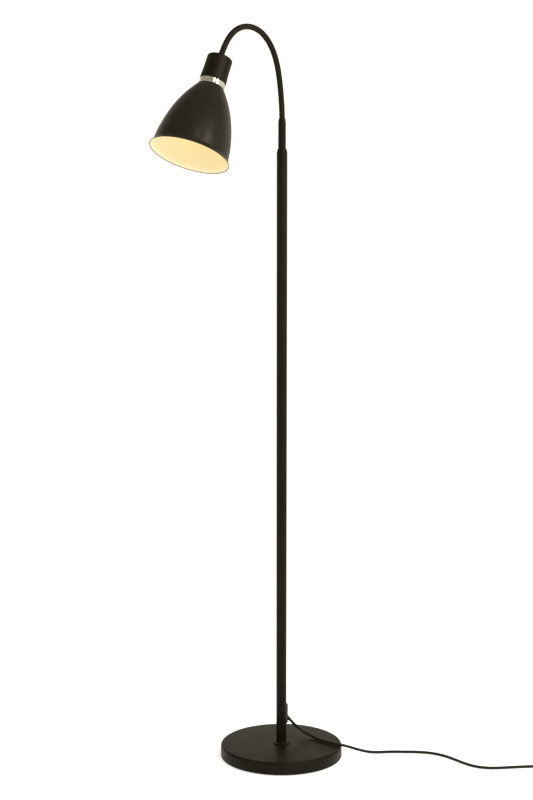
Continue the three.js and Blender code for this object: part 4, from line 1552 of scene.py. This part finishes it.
    def plug(self) -> list[bpy.types.Object]:
        """The flat two-pin plug, with a ribbed neck, finger grips and half-sleeved pins.

        Returns:
            The body and its pins.
        """
        low, high = box_of("plug_body")
        x = (low.x + high.x) / 2
        half, neck = (high.x - low.x) / 2, 4.5 * MM
        front, shoulder = low.y, high.y - 12 * MM
        outline = rounded(
            [
                (x - half, front, 3.2 * MM),
                (x + half, front, 3.2 * MM),
                (x + half, shoulder - 9 * MM, 7 * MM),
                (x + neck + 1 * MM, shoulder, 4 * MM),
                (x + neck, high.y, 3 * MM),
                (x - neck, high.y, 3 * MM),
                (x - neck - 1 * MM, shoulder, 4 * MM),
                (x - half, shoulder - 9 * MM, 7 * MM),
            ],
            steps=7,
        )
        body = slab("plug", outline, low.z, high.z, 2.2 * MM, Finish.PLASTIC, segments=6)
        level = (low.z + high.z) / 2
        ribs = [
            block("rib", self.rib, (x, high.y - (3 + 2.4 * k) * MM, z))
            for k in range(4)
            for z in (low.z, high.z)
        ]
        grips = [
            block("grip", self.grip, (side_x, front + (5 + 2.6 * k) * MM, level))
            for k in range(4)
            for side_x in (low.x, high.x)
        ]
        carved(body, [*ribs, *grips])
        made = [stand_in(body, "stand", "black_plastic", "plug_body")]
        for side in ("left", "right"):
            node = "plug_pin_" + side
            pin_low, pin_high = box_of(node)
            length = pin_high.y - pin_low.y
            r, tip, sleeve = self.pin_radius, self.pin_radius - 0.12 * MM, length - self.pin_tip
            root = [(0, 0, 0), (r, 0, 0), (r, sleeve, 0)]
            end = [(tip, sleeve, 0), (tip, length, 1.4 * MM), (0, length, 0)]
            bm = spun(rounded([*root, *end], closed=False), 28, False)
            for face in bm.faces:
                face.material_index = int(face.calc_center_median().z > sleeve)
            middle = (pin_low + pin_high) / 2
            place = along(Vector((middle.x, pin_high.y, middle.z)), Vector((0, -1, 0)))
            pin = finish_mesh(bm, "pin_" + side, [Finish.PLASTIC, Finish.NICKEL], place)
            made.append(stand_in(pin, "stand", "nickel", node))
        return made

    def build(self) -> None:
        """Builds the cord and everything on it."""
        pieces = [*self.switch(), self.tie(), *self.plug()]
        self.cord()


# ---- Studio -----------------------------------------------------------------------------------


@dataclass(frozen=True)
class Lamp:
    """One soft studio light."""

    name: str
    place: Triple
    target: Triple
    size: tuple[float, float]
    power: float
    colour: Triple = (1.0, 0.95, 0.88)

    def make(self) -> None:
        """Adds the light, turned towards its target."""
        data = bpy.data.lights.new(self.name, "AREA")
        data.shape = "RECTANGLE"
        data.size, data.size_y = self.size
        data.energy = self.power
        data.color = self.colour
        light = bpy.data.objects.new(self.name, data)
        light.location = self.place
        aim = Vector(self.target) - Vector(self.place)
        light.rotation_euler = aim.to_track_quat("-Z", "Y").to_euler()
        bpy.context.scene.collection.objects.link(light)


@dataclass
class Studio:
    """A pale floor, soft lights and the camera."""

    azimuth: float = math.radians(36.0)
    distance: float = 3.6
    height: float = 1.2788
    pitch: float = math.radians(8.981)
    yaw: float = math.radians(0.464)
    lens: float = 85.6
    horizon: float = 1.30
    zenith: float = 0.55
    dims_from: float = 0.15
    dims_to: float = 0.6
    wall_colour: Triple = (1.0, 0.91, 0.785)
    floor_glow: float = 0.55
    floor_size: float = 60.0
    aim: Triple = (0.0, -0.2, 1.3)

    def camera(self) -> None:
        """Places the camera level with the shade, looking slightly down."""
        data = bpy.data.cameras.new("camera")
        data.lens = self.lens
        data.sensor_width = 36.0
        data.clip_end = 200.0
        camera = bpy.data.objects.new("camera", data)
        away, down = self.azimuth + self.yaw, self.pitch
        level = Vector((-math.sin(away), math.cos(away), 0)) * math.cos(down)
        forward = level - Vector((0, 0, math.sin(down)))
        camera.location = (
            self.distance * math.sin(self.azimuth),
            -self.distance * math.cos(self.azimuth),
            self.height,
        )
        camera.rotation_euler = forward.to_track_quat("-Z", "Y").to_euler()
        bpy.context.scene.collection.objects.link(camera)
        bpy.context.scene.camera = camera

    def floor(self) -> None:
        """A wide pale floor with a faint, even grain, lit from within like a photographer's table."""
        bm = bmesh.new()
        bmesh.ops.create_grid(bm, x_segments=1, y_segments=1, size=self.floor_size)
        bmesh.ops.translate(bm, vec=(0, 0, -0.0004), verts=bm.verts)
        plane = finish_mesh(bm, "floor", [], recalculate=False)
        sheet = NodeSheet("pale_floor")
        sheet.set(Roughness=0.85, Specular_IOR_Level=0.1)
        sheet.set(Emission_Color=(1.0, 1.0, 1.0, 1.0), Emission_Strength=self.floor_glow)
        grain = sheet.noise(8.0, 4.0)
        sheet.tint(grain, (0.78, 0.79, 0.81), (0.80, 0.81, 0.83))
        plane.data.materials.append(sheet.material)

    def surround(self) -> None:
        """An even white surround that dims overhead, as in a studio with lit walls."""
        world = bpy.data.worlds.new("surround")
        world.use_nodes = True
        nodes, links = world.node_tree.nodes, world.node_tree.links
        place = nodes.new("ShaderNodeTexCoord").outputs["Generated"]
        height = nodes.new("ShaderNodeSeparateXYZ")
        links.new(place, height.inputs["Vector"])
        fade = nodes.new("ShaderNodeMapRange")
        fade.interpolation_type = "SMOOTHSTEP"
        limits = (self.dims_from, self.dims_to, self.horizon, self.zenith)
        for name, value in zip(("From Min", "From Max", "To Min", "To Max"), limits):
            fade.inputs[name].default_value = value
        links.new(height.outputs["Z"], fade.inputs["Value"])
        background = nodes["Background"]
        background.inputs["Color"].default_value = (*self.wall_colour, 1.0)
        links.new(fade.outputs["Result"], background.inputs["Strength"])
        bpy.context.scene.world = world
        bpy.context.scene.view_settings.view_transform = "Standard"

    def lights(self) -> None:
        """Two tall, narrow soft boxes to the right of the lamp."""
        Lamp("key", (2.15, -1.22, 3.13), self.aim, (0.34, 1.3), 30.0).make()
        Lamp("edge", (2.74, -0.02, 2.49), self.aim, (0.30, 1.5), 75.0).make()

    def build(self) -> None:
        """Sets the scene."""
        self.camera()
        self.floor()
        self.surround()
        self.lights()


def main() -> None:
    """Builds the lamp and its studio, in order."""
    logging.basicConfig(level=logging.INFO, format="%(name)s: %(message)s")
    Studio().build()
    outlet = CordOutlet()
    MainsCord(outlet).build()
    outlet.build()
    Stand().build()
    neck = Gooseneck()
    neck.build()
    Head(neck).build()


if __name__ == "__main__":
    main()
